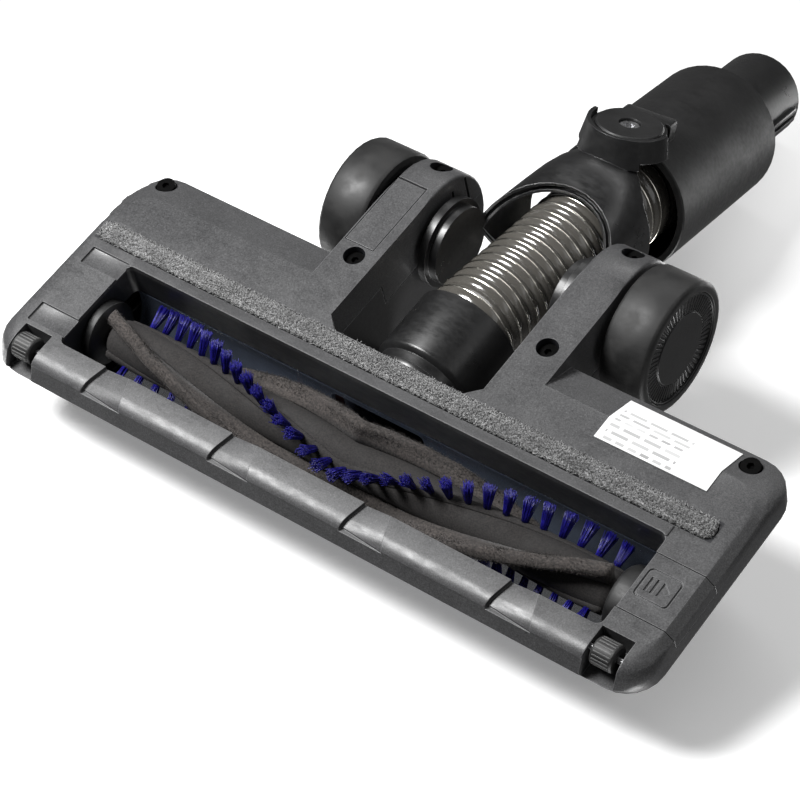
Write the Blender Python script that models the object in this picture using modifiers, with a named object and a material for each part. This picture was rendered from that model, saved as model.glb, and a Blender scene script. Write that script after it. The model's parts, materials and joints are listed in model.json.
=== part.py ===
"""Motorised brush floor head with a tilting, swivelling neck, for a cordless stick vacuum.

Frame: +Z up, the floor is Z = 0, the head's front faces -Y, the neck leaves towards +Y.
The neck and the wheel arms are centred on X = NECK_X. Sizes below are millimetres;
MM turns them into the scene's metres.
"""

import math

import bmesh
import bpy
from mathutils import Matrix, Vector

MM = 0.001
GAP = 0.3  # clearance between neighbouring pieces

# Head casing
NECK_X = 2.5
SOLE_Z = 2.2
HALF_WIDTH = 124.5
FRONT_Y = -145.4
REAR_Y = -56.4
SPLIT_Z = 14.2  # joint plane of sole plate and top cover
CORNER_R = 12.0
WALL = 2.4
TROUGH = (-104.5, 102.2, -132.2, -96.6)  # brush opening: x0, x1, y0, y1
THROAT_HALF = 29.45  # half gap between the two wheel arms
THROAT_Y = -84.5
ARM_WIDTH = 15.45

# Neck joint
AXLE = Vector((NECK_X, -25.1, 22.6))  # wheels and neck tilt share this line
PIVOT = Vector((NECK_X, 28.4, 45.94))  # tube axis meets the swivel axis here
TUBE_RISE = math.radians(26.44)
SWIVEL_AT_REST = math.radians(6.32)
SLEEVE_R = 24.7
SLEEVE_FRONT, SLEEVE_BACK = 2.5, 79.3
SPIGOT_R = 16.0
SPIGOT_END = 121.0
LUG_R = 12.8
BOSS_R = 14.5

# Wheels
WHEEL_R = 22.6
WHEEL_IN, WHEEL_OUT = 47.3, 63.7  # distance of the two faces from the neck plane
HUB_R = 19.0
AXLE_R = 2.5

# Air path
COLLAR_Z = 24.2
COLLAR_R = 18.5
COLLAR_BACK = -51.9
HOSE_R = 17.0
HOSE_WALL = 1.3

# Brush roller
BRUSH = Vector((0.0, -114.4, 16.2))
BRUSH_ENDS = (-97.6, 96.2)
BRUSH_MID = -0.5
CORE_R = 7.0
STRIP_SEAT_R = CORE_R + 0.35  # inner radius of the felt fins and bristle rows, clear of the core
FIN_R = 13.5
BRISTLE_R = 16.0
CHAMBER_R = 17.8
HOOD_R = 19.6
COVER_R = 22.8
TWIST = math.radians(150.0)  # helix turn from the middle of the brush to each end

# Drive
MOTOR = Vector((0.0, -72.0, 23.4))
MOTOR_R = 12.0
MOTOR_X = (54.0, 98.0)
BRUSH_PULLEY_R = 9.0
MOTOR_PULLEY_R = 4.9
BELT_X = (106.2, 110.2)

# Latch
LATCH_Y = (-124.5, -102.9)
LATCH_TOP = 8.6

HEAD = Matrix.Identity(4)
YOKE = Matrix.Translation(PIVOT) @ Matrix.Rotation(TUBE_RISE, 4, "X")
CONNECTOR = YOKE @ Matrix.Rotation(-SWIVEL_AT_REST, 4, "Z")
TURN = {
    "X": Matrix.Rotation(math.radians(90), 4, "Y"),
    "Y": Matrix.Rotation(math.radians(-90), 4, "X"),
    "Z": Matrix.Identity(4),
    "-Z": Matrix.Rotation(math.radians(180), 4, "X"),
}


# ---------------------------------------------------------------- scene helpers

def clear_scene():
    for old in list(bpy.data.objects):
        bpy.data.objects.remove(old)


def collection(name):
    made = bpy.data.collections.new(name)
    bpy.context.scene.collection.children.link(made)
    return made


def in_metres(matrix):
    scaled = matrix.copy()
    scaled.translation = matrix.translation * MM
    return scaled


def material(name, colour, roughness, metallic=0.0, alpha=1.0):
    made = bpy.data.materials.new(name)
    made.use_nodes = True
    shader = made.node_tree.nodes["Principled BSDF"]
    shader.inputs["Base Color"].default_value = (*colour, 1.0)
    shader.inputs["Roughness"].default_value = roughness
    shader.inputs["Metallic"].default_value = metallic
    shader.inputs["Alpha"].default_value = alpha
    return made


def add(name, bm, frame=HEAD):
    """A new object from a bmesh in millimetres, placed by its frame."""
    bmesh.ops.remove_doubles(bm, verts=bm.verts, dist=1e-4)
    bmesh.ops.recalc_face_normals(bm, faces=bm.faces)
    bm.transform(Matrix.Scale(MM, 4))
    mesh = bpy.data.meshes.new(name)
    bm.to_mesh(mesh)
    bm.free()
    mesh.shade_smooth()
    mesh.set_sharp_from_angle(angle=math.radians(35))
    obj = bpy.data.objects.new(name, mesh)
    obj.matrix_world = in_metres(frame)
    PARTS.objects.link(obj)
    return obj


def as_tool(obj):
    PARTS.objects.unlink(obj)
    TOOLS.objects.link(obj)
    obj.hide_render = True
    obj.display_type = "WIRE"
    return obj


def combine(obj, operation, *tools, solver="EXACT"):
    for tool in tools:
        if tool.name not in TOOLS.objects:
            as_tool(tool)
        step = obj.modifiers.new(f"{operation.lower()} {tool.name}", "BOOLEAN")
        step.operation = operation
        step.solver = solver
        step.object = tool
    return obj


def cut(obj, *tools, solver="EXACT"):
    return combine(obj, "DIFFERENCE", *tools, solver=solver)


def weld(obj):
    """Merge the coincident points that Booleans leave along shared faces."""
    step = obj.modifiers.new("weld", "WELD")
    step.merge_threshold = 0.000002
    return obj


def join(obj, *tools, solver="EXACT"):
    return combine(obj, "UNION", *tools, solver=solver)


# ---------------------------------------------------------------- shapes

def block(name, low, high, frame=HEAD, bevel=0.0):
    """An axis-aligned block of its frame, with optional rounded edges."""
    bm = bmesh.new()
    bmesh.ops.create_cube(bm, size=1.0)
    size = Vector(high) - Vector(low)
    middle = (Vector(high) + Vector(low)) / 2
    bm.transform(Matrix.Translation(middle) @ Matrix.Diagonal((*size, 1.0)))
    if bevel:
        bmesh.ops.bevel(bm, geom=bm.edges[:], offset=bevel, segments=2, profile=0.5, affect="EDGES")
    return add(name, bm, frame)


def rod(name, radius, low, high, axis="Z", centre=(0, 0, 0), frame=HEAD, sides=32, top=None):
    """A cylinder, or a cone when top is given, from low to high along its axis."""
    bm = bmesh.new()
    bmesh.ops.create_cone(
        bm, cap_ends=True, segments=sides, radius1=radius, radius2=radius if top is None else top,
        depth=high - low,
    )
    bm.transform(TURN[axis] @ Matrix.Translation((0, 0, (low + high) / 2)))
    bm.transform(Matrix.Translation(centre))
    return add(name, bm, frame)


def turned(name, profile, axis="Z", centre=(0, 0, 0), frame=HEAD, sides=48):
    """A solid of revolution: (radius, height) points swept by a Screw modifier."""
    bm = bmesh.new()
    # the Screw's faces point outwards when the outer side runs downwards
    loop = list(zip(profile, profile[1:] + profile[:1]))
    if sum(a[0] * b[1] - b[0] * a[1] for a, b in loop) > 0:
        profile = profile[::-1]
    verts = [bm.verts.new((radius * MM, 0, height * MM)) for radius, height in profile]
    for first, second in zip(verts, verts[1:]):
        bm.edges.new((first, second))
    if profile[0][0] > 0:
        bm.edges.new((verts[-1], verts[0]))
    mesh = bpy.data.meshes.new(name)
    bm.to_mesh(mesh)
    bm.free()
    obj = bpy.data.objects.new(name, mesh)
    obj.matrix_world = in_metres(frame @ Matrix.Translation(centre) @ TURN[axis])
    screw = obj.modifiers.new("turn", "SCREW")
    screw.steps = sides
    screw.render_steps = sides
    screw.use_merge_vertices = True
    screw.merge_threshold = 0.00001
    screw.use_smooth_shade = True
    PARTS.objects.link(obj)
    return obj


def flat(name, outlines, low, high, axis="Z", centre=(0, 0, 0), frame=HEAD):
    """A plate: one or more 2D outlines (holes included) extruded from low to high."""
    data = bpy.data.curves.new(name, "CURVE")
    data.dimensions = "2D"
    data.fill_mode = "BOTH"
    data.extrude = (high - low) / 2
    for outline in outlines:
        spline = data.splines.new("POLY")
        spline.points.add(len(outline) - 1)
        spline.use_cyclic_u = True
        for point, (across, along) in zip(spline.points, outline):
            point.co = (across, along, 0, 1)
    curve = bpy.data.objects.new(name, data)
    bpy.context.scene.collection.objects.link(curve)
    bpy.context.view_layer.update()
    graph = bpy.context.evaluated_depsgraph_get()
    mesh = bpy.data.meshes.new_from_object(curve.evaluated_get(graph))
    bm = bmesh.new()
    bm.from_mesh(mesh)
    bpy.data.objects.remove(curve)
    bpy.data.meshes.remove(mesh)
    bm.transform(Matrix.Translation((0, 0, (low + high) / 2)))
    if axis == "X":
        # the outline's first coordinate is Y and its second is Z
        bm.transform(Matrix.Rotation(math.radians(90), 4, "Z") @ Matrix.Rotation(math.radians(90), 4, "X"))
    bm.transform(Matrix.Translation(centre))
    return add(name, bm, frame)


def loft(name, rings, frame=HEAD, closed=False):
    """Skin through rings of equal point count; the ends are capped unless the rings close."""
    bm = bmesh.new()
    rows = [[bm.verts.new(point) for point in ring] for ring in rings]
    pairs = list(zip(rows, rows[1:]))
    if closed:
        pairs.append((rows[-1], rows[0]))
    for lower, upper in pairs:
        for i in range(len(lower)):
            j = (i + 1) % len(lower)
            bm.faces.new((lower[i], lower[j], upper[j], upper[i]))
    if not closed:
        bm.faces.new(rows[0][::-1])
        bm.faces.new(rows[-1])
    return add(name, bm, frame)


def arc(centre, radius, start, end, steps):
    """Points of an arc, angles in degrees, both ends included."""
    angles = [math.radians(start + (end - start) * i / steps) for i in range(steps + 1)]
    return [(centre[0] + radius * math.cos(a), centre[1] + radius * math.sin(a)) for a in angles]


def rounded_rectangle(x0, x1, y0, y1, radius, steps=6):
    points = []
    for cx, cy, start in ((x1, y1, 0), (x0, y1, 90), (x0, y0, 180), (x1, y0, 270)):
        across = cx - math.copysign(radius, cx - (x0 + x1) / 2)
        along = cy - math.copysign(radius, cy - (y0 + y1) / 2)
        inward = (across, along)
        points += arc(inward, radius, start, start + 90, steps)
    return points


def ring_at(z, half, front, rear, radius):
    return [(x, y, z) for x, y in rounded_rectangle(-half, half, front, rear, radius)]


# ---------------------------------------------------------------- head casing

def sole_block(name, inset=0.0):
    """The lower half of the head: flat sole, rounded nose, chamfered ends, sloped rear band."""
    steps = (  # height above the sole, half width, front, rear
        (0.0, 121.3, -138.4, -69.9),
        (0.35, 121.7, -140.4, -69.1),
        (1.2, 122.5, -142.2, -67.2),
        (2.0, 123.3, -143.0, -65.4),
        (2.9, 124.2, -143.1, -63.4),
        (6.0, HALF_WIDTH, -144.8, REAR_Y),
        (7.5, HALF_WIDTH, FRONT_Y, REAR_Y),
        (12.0, HALF_WIDTH, -143.0, REAR_Y),
    )
    rings = []
    for height, half, front, rear in steps:
        rings.append(ring_at(SOLE_Z + height, half - inset, front + inset, rear - inset, CORNER_R - inset))
    return loft(name, rings)


def arm_outline(low, high, start_y=-92.0):
    """Side outline (y, z) of a wheel arm between two heights, rounded behind the axle."""
    centre, radius = (-23.4, 24.2), 22.0
    top_centre, top_radius = (-19.4, 26.0), 18.0
    if low < AXLE.z < high:
        rear = arc(centre, radius, -90, 0, 8) + arc(top_centre, top_radius, 0, 90, 8)
    elif high <= AXLE.z:
        edge = math.degrees(math.asin((high - centre[1]) / radius))
        rear = arc(centre, radius, -90, edge, 8)
    else:
        rear = [(centre[0] + math.sqrt(radius**2 - (low - centre[1]) ** 2), low)]
        rear += arc(top_centre, top_radius, 0, 90, 8)
    return [(start_y, low)] + rear + [(start_y, high)]


def arm(name, side, low, high):
    inner = NECK_X + side * THROAT_HALF
    outer = NECK_X + side * (THROAT_HALF + ARM_WIDTH)
    solid = flat(name, [arm_outline(low, high)], min(inner, outer), max(inner, outer), axis="X")
    bm = bmesh.new()
    bm.from_mesh(solid.data)
    rim = [e for e in bm.edges if e.is_manifold and abs(e.calc_face_angle()) > 1.2]
    rounded = [e for e in rim if all(v.co.y > -0.080 for v in e.verts)]
    level = AXLE.z * MM
    rounded = [e for e in rounded if not all(abs(v.co.z - level) < 0.0006 for v in e.verts)]
    bmesh.ops.bevel(bm, geom=rounded, offset=1.2 * MM, segments=3, profile=0.5, affect="EDGES")
    bm.to_mesh(solid.data)
    bm.free()
    solid.data.shade_smooth()
    solid.data.set_sharp_from_angle(angle=math.radians(35))
    return solid


def throat_tool(name, low, high):
    """The open bay between the arms, its front corners chamfered."""
    half, chamfer = THROAT_HALF, 4.5
    x0, x1 = NECK_X - half, NECK_X + half
    outline = [
        (x0, 5.0), (x0, THROAT_Y + chamfer), (x0 + chamfer, THROAT_Y),
        (x1 - chamfer, THROAT_Y), (x1, THROAT_Y + chamfer), (x1, 5.0),
    ]
    return flat(name, [outline], low, high)


def trough_tool():
    x0, x1, y0, y1 = TROUGH
    return flat("trough", [rounded_rectangle(x0, x1, y0, y1, 2.5, 4)], -2.0, SPLIT_Z + 2.0)


def nose_notches():
    """Four ramps in the front rail: they follow its rounding, deep at one wall, fading out towards -X."""
    edge_y, nose_y, crease_z = TROUGH[2] + 1.0, -144.6, SOLE_Z + 2.9
    surface = (  # y, z and outward slope of the rail's rounding, from the trough to the crease
        (edge_y, SOLE_Z, 0.0, 1.0), (-138.4, SOLE_Z, 0.08, 1.0), (-140.4, SOLE_Z + 0.35, 0.3, 0.95),
        (-142.2, SOLE_Z + 1.2, 0.64, 0.77), (-143.0, SOLE_Z + 2.0, 0.95, 0.3), (-143.1, crease_z, 0.97, 0.0),
    )
    for i, wall_x in enumerate((81.9, 30.4, -20.5, -74.0)):
        rings = []
        for depth, x_at_edge, x_at_nose in ((1.5, wall_x, wall_x + 3.0), (0.12, wall_x - 9.0, wall_x - 14.0)):
            outline = [(y + depth * across, z + depth * up) for y, z, across, up in surface]
            outline += [(-150.0, crease_z), (-150.0, -3.0), (edge_y, -3.0)]
            lean = (x_at_nose - x_at_edge) / (nose_y - edge_y)
            rings.append([(x_at_edge + lean * (y - edge_y), y, z) for y, z in outline])
        yield loft(f"nose_notch_{i + 1}", rings)


def grip_scallops():
    """Four finger scallops on the rear of the +X end, the last one on the rounded corner."""
    for i, place in enumerate(((125.1, -83.0), (125.1, -76.7), (125.1, -70.4), (124.4, -64.1))):
        yield rod(f"scallop_{i + 1}", 2.2, -1.0, 30.0, centre=(*place, 0), sides=16)


def screw_places():
    """(name, x, y, z of the head seat) of the six casing screws."""
    for side, word in ((1, "left"), (-1, "right")):
        x = NECK_X + side * 37.4
        yield f"arm_screw_front_{word}", x, -57.2, 7.0
        yield f"arm_screw_rear_{word}", x, -10.4, 12.0
        yield f"corner_screw_{word}", NECK_X + side * 113.0, -62.0, 8.0


def screw_tools():
    for name, x, y, seat in screw_places():
        yield rod(f"{name}_counterbore", 3.6, -1.0, seat, centre=(x, y, 0), sides=24)
        yield rod(f"{name}_clearance", 1.8, seat - 1.0, 60.0, centre=(x, y, 0), sides=16)


def wheel_side_tools(word, side):
    """Bores of one arm: neck trunnion and its bush from inside, wheel axle from outside."""
    def span(a, b):
        ends = sorted((AXLE.x + side * a, AXLE.x + side * b))
        return {"low": ends[0], "high": ends[1], "axis": "X", "centre": (0, AXLE.y, AXLE.z)}

    yield rod(f"bush_bore_{word}", 9.3, **span(28.0, 35.3), sides=32)
    yield rod(f"wheel_bore_{word}", AXLE_R + GAP, **span(37.0, 46.0), sides=24)


def sole_plate():
    plate = sole_block("sole_plate")
    for side, word in ((1, "left"), (-1, "right")):
        leg = arm(f"lower_arm_{word}", side, SOLE_Z, AXLE.z - GAP / 2)
        cut(leg, block(f"under_cover_{word}", (-60, -95, SPLIT_Z), (60, REAR_Y + GAP, 30)))
        join(plate, leg)
    cut(plate, throat_tool("throat_low", -2.0, SPLIT_Z + 2.0))
    rim = block("rear_rim", (-104.3, TROUGH[3] - 0.5, SOLE_Z - 0.55), (102.0, -93.0, SOLE_Z + 1.0), bevel=0.3)
    join(plate, rim)
    # tray behind the brush trough, open towards the top cover
    bay = block("rear_bay", (-118.0, -91.6, SOLE_Z + WALL), (118.0, -70.5, SPLIT_Z + 3))
    bays = [
        block("bay_left", (51.0, -71.5, SOLE_Z + WALL + 2.4), (103.0, -59.5, SPLIT_Z + 3)),
        block("bay_right", (-98.0, -71.5, SOLE_Z + WALL + 2.4), (-46.0, -59.5, SPLIT_Z + 3)),
    ]
    throat_wall = block(
        "throat_wall", (NECK_X - 32.5, -88.0, SOLE_Z), (NECK_X + 32.5, -69.0, SPLIT_Z + 4)
    )
    cut(bay, throat_wall)
    cut(plate, bay, *bays)
    cut(plate, collar_clearance("collar_way_low"))
    cut(plate, trough_tool(), *nose_notches(), *grip_scallops())
    groove = rounded_rectangle(-116.2, 120.2, -92.6, -84.9, 3.8, 5)
    cut(plate, flat("plush_groove", [groove], -1.0, SOLE_Z + 1.2))
    for i, (y0, y1) in enumerate(((-103.2, -96.0), (-129.9, -122.1))):
        cut(plate, block(f"end_recess_{i + 1}", (102.0, y0, 0), (117.5, y1, SOLE_Z + 0.9), bevel=0.4))
    for word, side in (("left", 1), ("right", -1)):
        xs = sorted((side * 110.75 - 5.6, side * 110.75 + 5.6))
        cut(plate, block(f"roller_pocket_{word}", (xs[0], -150, -1), (xs[1], -131.6, 11.5)))
        bore_from, bore_to = xs[0] - 1.6, xs[1] + 1.6
        cut(plate, rod(f"roller_axle_bore_{word}", 1.3, bore_from, bore_to, "X", (0, -138.0, 4.4), sides=12))
    # latch slide, the two drive bays in the +X end and the bearing seat in the -X end
    cut(plate, block("latch_slot", (-130, LATCH_Y[0], 0), (-103.5, LATCH_Y[1], LATCH_TOP + GAP)))
    cut(plate, block("spring_slot", (-121.0, -116.2, 5.0), (-108.0, -111.0, SPLIT_Z - 1.4)))
    cut(plate, block("belt_bay", (105.6, -127.0, 5.4), (114.0, -66.3, 20)))
    cut(plate, rod("coupling_bore", 7.6, 100.0, 107.0, "X", BRUSH, sides=24))
    seat = rod("bearing_seat", 11.9, -105.5, -103.0, "X", BRUSH, sides=32)
    cut(plate, seat)
    panel = block("panel_recess", (35.45, -52.9, 1.0), (46.95, -23.1, SOLE_Z + 1.5))
    cut(plate, panel)
    for i in range(2):
        rib = block(f"arm_slot_{i + 1}", (31.0, -16.5 + 7 * i, 9.0), (32.9, -15.3 + 7 * i, 24.0))
        cut(plate, rib)
    for word, side in (("left", 1), ("right", -1)):
        cut(plate, *wheel_side_tools(word, side))
    cut(plate, *screw_tools())
    return weld(plate)


def collar_clearance(name):
    return rod(name, COLLAR_R + 0.1 + GAP, -94.0, -80.0, "Y", (NECK_X, 0, COLLAR_Z), sides=40)


def cover_block(name, inset=0.0, base=SPLIT_Z + GAP):
    """Outer form of the top cover: an arched front over the brush and a higher rear hump."""
    radius = COVER_R - inset
    levels = [(base - 5.0 * bool(inset), -143.0 + inset), (18.0, -140.0 + inset)]
    for degrees in (24, 37, 50, 62, 73, 83):
        a = math.radians(degrees)
        levels.append((BRUSH.z + radius * math.sin(a), BRUSH.y - radius * math.cos(a)))
    rings = []
    for z, front in levels:
        half = HALF_WIDTH - 0.56 * max(z - SPLIT_Z, 0.0) - 0.9 * max(z - 33.0, 0.0) - inset
        rear = REAR_Y - 1.5 * max(z - 30.0, 0.0) - inset
        rings.append(ring_at(z, half, front, rear, CORNER_R - inset))
    body = loft(name, rings)
    hump_rings = []
    for z, shrink in ((24.0, 0.0), (36.0, 0.0), (41.0, 1.5), (44.0, 4.5), (45.6, 9.0), (46.0, 13.0)):
        half = 106.0 - 0.25 * (z - 24.0) - shrink
        front, rear = -101.0 + shrink + inset, REAR_Y - 0.6 - shrink - inset
        ring = ring_at(z - inset, half - inset, front, rear, 10.0 - inset)
        hump_rings.append(ring)
    join(body, loft(f"{name}_hump", hump_rings))
    return body


def top_cover():
    cover = cover_block("top_cover")
    for side, word in ((1, "left"), (-1, "right")):
        join(cover, arm(f"upper_arm_{word}", side, AXLE.z + GAP / 2, 44.0))
    inner = cover_block("cover_inside", inset=WALL)
    # solid behind the throat and screw bosses stay; everything else is hollow
    throat_wall = block("cover_throat_wall", (NECK_X - 32.5, -90.0, 0), (NECK_X + 32.5, -40.0, 60))
    cut(inner, throat_wall, solver="MANIFOLD")
    cut(cover, inner)
    cut(cover, throat_tool("throat_high", SPLIT_Z - 2.0, 42.9))
    roof_cut = block("roof_trim", (NECK_X - THROAT_HALF, -60.0, 0), (NECK_X + THROAT_HALF, 10.0, 60))
    cut(cover, roof_cut)
    cut(cover, collar_clearance("collar_way_high"))
    window = wedge_ring("window_cut", HOOD_R - 1.0, COVER_R + 6.0, 60, 130, (-97.0, 100.0))
    cut(cover, window, solver="MANIFOLD")
    for word, side in (("left", 1), ("right", -1)):
        cut(cover, *wheel_side_tools(f"{word}_upper", side), solver="MANIFOLD")
    return weld(cover)


def wedge_ring(name, inner, outer, start, end, xs, steps=14):
    """Part of a ring around the brush axis, angles from +Y over the top, between two X planes."""
    outline = arc((BRUSH.y, BRUSH.z), outer, start, end, steps)
    outline += arc((BRUSH.y, BRUSH.z), inner, end, start, steps)
    return flat(name, [outline], xs[0], xs[1], axis="X")


def hood_window():
    """Smoked chamber lining: an arched wall, straight skirts, and a pad that fills the cover's window."""
    lining = wedge_ring("hood_window", CHAMBER_R, HOOD_R, -4, 184, (TROUGH[0] + 0.6, TROUGH[1] - 0.6), 24)
    pad = wedge_ring("window_pad", HOOD_R - 0.4, COVER_R, 61, 129, (-96.6, 99.6))
    join(lining, pad)
    port = block("suction_port", (NECK_X - 16.0, -104.0, 17.0), (NECK_X + 20.0, -90.0, 32.5), bevel=2.0)
    cut(lining, port)
    return lining


def intake_duct():
    """Funnel from the chamber's suction port to the round collar."""
    def rectangle(x0, x1, z0, z1, radius):
        return [(x, front, z) for x, z in rounded_rectangle(x0, x1, z0, z1, radius, 5)]

    def circle(radius, y):
        # the same number of points as the rectangle, starting at its corner's direction
        return [(x, y, z) for x, z in arc((NECK_X, COLLAR_Z), radius, 0, 360 - 15, 23)]

    x0, x1, z0, z1 = NECK_X - 17.5, NECK_X + 17.5, 16.8, 33.0
    front, back = BRUSH.y + HOOD_R + GAP, -89.9
    rings = [
        circle(16.8, back), rectangle(x0, x1, z0, z1, 3.0),
        rectangle(x0 + 1.8, x1 - 1.8, z0 + 1.8, z1 - 1.8, 2.0), circle(15.0, back),
    ]
    return loft("intake_duct", [ring_sample(ring, 24) for ring in rings], closed=True)


def ring_sample(ring, count):
    """Resample a closed ring by direction from its centre, so that unlike rings skin cleanly."""
    middle = sum((Vector(p) for p in ring), Vector()) / len(ring)
    ring = sorted(ring, key=lambda p: math.atan2(p[2] - middle.z, p[0] - middle.x))
    picked = [ring[int(i * len(ring) / count)] for i in range(count)]
    return picked


def duct_collar():
    """Round socket that the hose's front end sits in, with a rolled front ring."""
    profile = [
        (17.7, COLLAR_BACK), (COLLAR_R, COLLAR_BACK), (COLLAR_R, -74.8), (COLLAR_R - 0.3, -75.6),
        (COLLAR_R - 1.9, -76.6), (COLLAR_R - 2.2, -79.6), (COLLAR_R - 1.3, -80.2), (COLLAR_R - 1.3, -81.6),
        (COLLAR_R - 1.7, -82.2), (COLLAR_R - 1.7, -82.8), (COLLAR_R + 0.1, -83.2), (COLLAR_R + 0.1, -89.4),
        (15.4, -89.4), (15.4, -66.0), (17.7, -66.0),
    ]
    return turned("duct_collar", profile, "Y", (NECK_X, 0, COLLAR_Z), sides=40)


def hose_route():
    """Centre line of the hose: level in the collar, then rising into the neck."""
    bend = [
        Vector((NECK_X, -65.2, 24.2)), Vector((NECK_X, -58.0, 24.2)), Vector((NECK_X, -49.5, 24.8)),
        Vector((NECK_X, -37.0, 27.8)), Vector((NECK_X, -16.4, 33.1)), Vector((NECK_X, 6.0, 38.5)), PIVOT.copy(),
    ]
    bend += [CONNECTOR @ Vector((0, along, 0)) for along in (13.0, 26.0)]
    route = []
    for i in range(len(bend) - 1):
        before, start, end, after = (bend[max(0, min(len(bend) - 1, i + k))] for k in (-1, 0, 1, 2))
        for step in range(3):
            route.append(catmull(before, start, end, after, step / 3))
    return route + [bend[-1]]


def catmull(before, start, end, after, t):
    return 0.5 * (
        2 * start + (end - before) * t + (2 * before - 5 * start + 4 * end - after) * t**2
        + (3 * start - before - 3 * end + after) * t**3
    )


def hose():
    route = hose_route()
    sides = 16

    def ring(i, radius):
        ahead = route[min(i + 1, len(route) - 1)] - route[max(i - 1, 0)]
        across = ahead.cross(Vector((0, 0, 1))).normalized()
        up = across.cross(ahead).normalized()
        angles = (math.tau * k / sides for k in range(sides))
        return [route[i] + radius * (math.cos(a) * across + math.sin(a) * up) for a in angles]

    outer = [ring(i, HOSE_R) for i in range(len(route))]
    inner = [ring(i, HOSE_R - HOSE_WALL) for i in reversed(range(len(route)))]
    return loft("hose", outer + inner, closed=True)


# ---------------------------------------------------------------- neck

def facing(frame, down):
    """The frame with +Z along the swivel axis, pointing out of the lower or the upper side."""
    return frame @ Matrix.Rotation(math.pi, 4, "Y") if down else frame


def yoke_section(t):
    """Closed outline of the yoke's wall at angle t around the tube: a grooved lip, a domed skin."""
    c, s = math.cos(t), math.sin(t)
    lower = s >= 0
    lip_s = -46.4 + (17.5 if lower else 22.0) * abs(s)
    shoulder = -14.0

    def point(offset, along, bulge):
        depth = 17.5 + 6.9 * bulge if lower else 24.4
        return (c * (24.8 - 0.4 * bulge - offset), along, -s * (depth - offset))

    stations = [(lip_s + (shoulder - lip_s) * k / 5, math.sin(k / 5 * math.pi / 2)) for k in range(6)]
    stations.append((8.0, 1.0))
    walls = (3.2, 2.6, 2.0, 1.8, 1.8, 1.8, 1.8)
    outer = [point(0, along, bulge) for along, bulge in stations]
    inner = [point(wall, along, bulge) for wall, (along, bulge) in zip(walls, stations)]
    groove = [(2.2, lip_s), (2.2, lip_s + 2.2), (1.0, lip_s + 2.2), (1.0, lip_s)]
    return outer + inner[::-1] + [point(offset, along, 0) for offset, along in groove]


def swivel_wedge():
    """The room that the sleeve's front edge sweeps between the two ends of the swivel."""
    hub = arc((0, 0), 6.1, -48, 228, 20)
    outline = hub + [(-19.5, -16.5), (-45, -16.5), (-45, 40), (45, 40), (45, -16.5), (19.5, -16.5)]
    return flat("swivel_wedge", [outline], -24.75, 24.75, frame=YOKE)


def neck_yoke():
    """Tilting part: two trunnion discs, a domed ring around the hose, two swivel bosses."""
    turns = 36
    yoke = loft("neck_yoke", [yoke_section(math.tau * i / turns) for i in range(turns)], YOKE, closed=True)
    for down in (True, False):
        word = "lower" if down else "upper"
        top = 32.4 if down else 29.6
        base = rod(f"boss_{word}", 16.5, 22.5, top, frame=facing(YOKE, down), sides=40, top=BOSS_R)
        cup = rod(f"boss_cup_{word}", 13.15, 24.65, 40.0, frame=facing(YOKE, down), sides=40)
        rear = block(f"boss_rear_{word}", (-20, 0.6, 24.65), (20, 20, 40), frame=facing(YOKE, down))
        cut(base, cup, rear)
        join(yoke, base, solver="MANIFOLD")
    cut(yoke, swivel_wedge(), solver="MANIFOLD")
    for down in (True, False):
        word = "lower" if down else "upper"
        bore = rod(f"pivot_bore_{word}", 2.3, 15.0, 40.0, frame=facing(YOKE, down), sides=20)
        cut(yoke, bore, solver="MANIFOLD")
    for side, word in ((1, "left"), (-1, "right")):
        steps = (("disc", 13.7, 21.8, 25.2), ("flange", 15.7, 24.9, 27.6), ("pin", 7.0, 27.0, 34.6))
        for part, radius, near, far in steps:
            low, high = sorted((AXLE.x + side * near, AXLE.x + side * far))
            step = rod(f"trunnion_{part}_{word}", radius, low, high, "X", (0, AXLE.y, AXLE.z), sides=32)
            join(yoke, step, solver="MANIFOLD")
    return yoke


def connector_sleeve():
    """Swivelling socket: a round sleeve with a lug on each side that turns in the yoke's bosses."""
    wall = [
        (SPIGOT_R + GAP, SLEEVE_BACK), (24.1, SLEEVE_BACK), (SLEEVE_R, SLEEVE_BACK - 0.6),
        (SLEEVE_R, SLEEVE_FRONT + 0.4), (SLEEVE_R - 0.4, SLEEVE_FRONT), (22.3, SLEEVE_FRONT),
        (22.3, SLEEVE_BACK - 2.6), (SPIGOT_R + GAP, SLEEVE_BACK - 2.6),
    ]
    sleeve = turned("connector_sleeve", wall, "Y", frame=CONNECTOR, sides=44)
    for down in (True, False):
        word = "lower" if down else "upper"
        frame = facing(CONNECTOR, down)
        cut(sleeve, rod(f"hub_relief_{word}", 6.6, 12.0, 24.9, frame=frame, sides=32))
        lift = 32.0 if down else 29.4
        lug = rod(f"lug_{word}", LUG_R, 24.95, lift - 1.3, frame=frame, sides=40)
        cap = turned(
            f"lug_cap_{word}", [(0, lift), (11.1, lift), (11.6, lift - 0.5), (11.6, 27.0), (0, 27.0)],
            frame=frame, sides=40,
        )
        bridge = block(f"lug_bridge_{word}", (-9.5, 8.2, 22.6), (9.5, 19.0, lift - 2.4), frame=frame, bevel=1.0)
        for side in (1, -1):
            xs = sorted((side * 7.6, side * 12.0))
            slot = block(f"lug_slot_{word}_{side + 1}", (xs[0], 10.5, 24.95), (xs[1], 13.0, 40), frame=frame)
            cut(bridge, slot)
        join(sleeve, lug, bridge, cap)
        cut(sleeve, rod(f"screw_seat_{word}", 3.8, lift - 2.6, 40.0, frame=frame, sides=32))
        cut(sleeve, rod(f"screw_way_{word}", 2.3, 15.0, 40.0, frame=frame, sides=20))
    return sleeve


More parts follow.
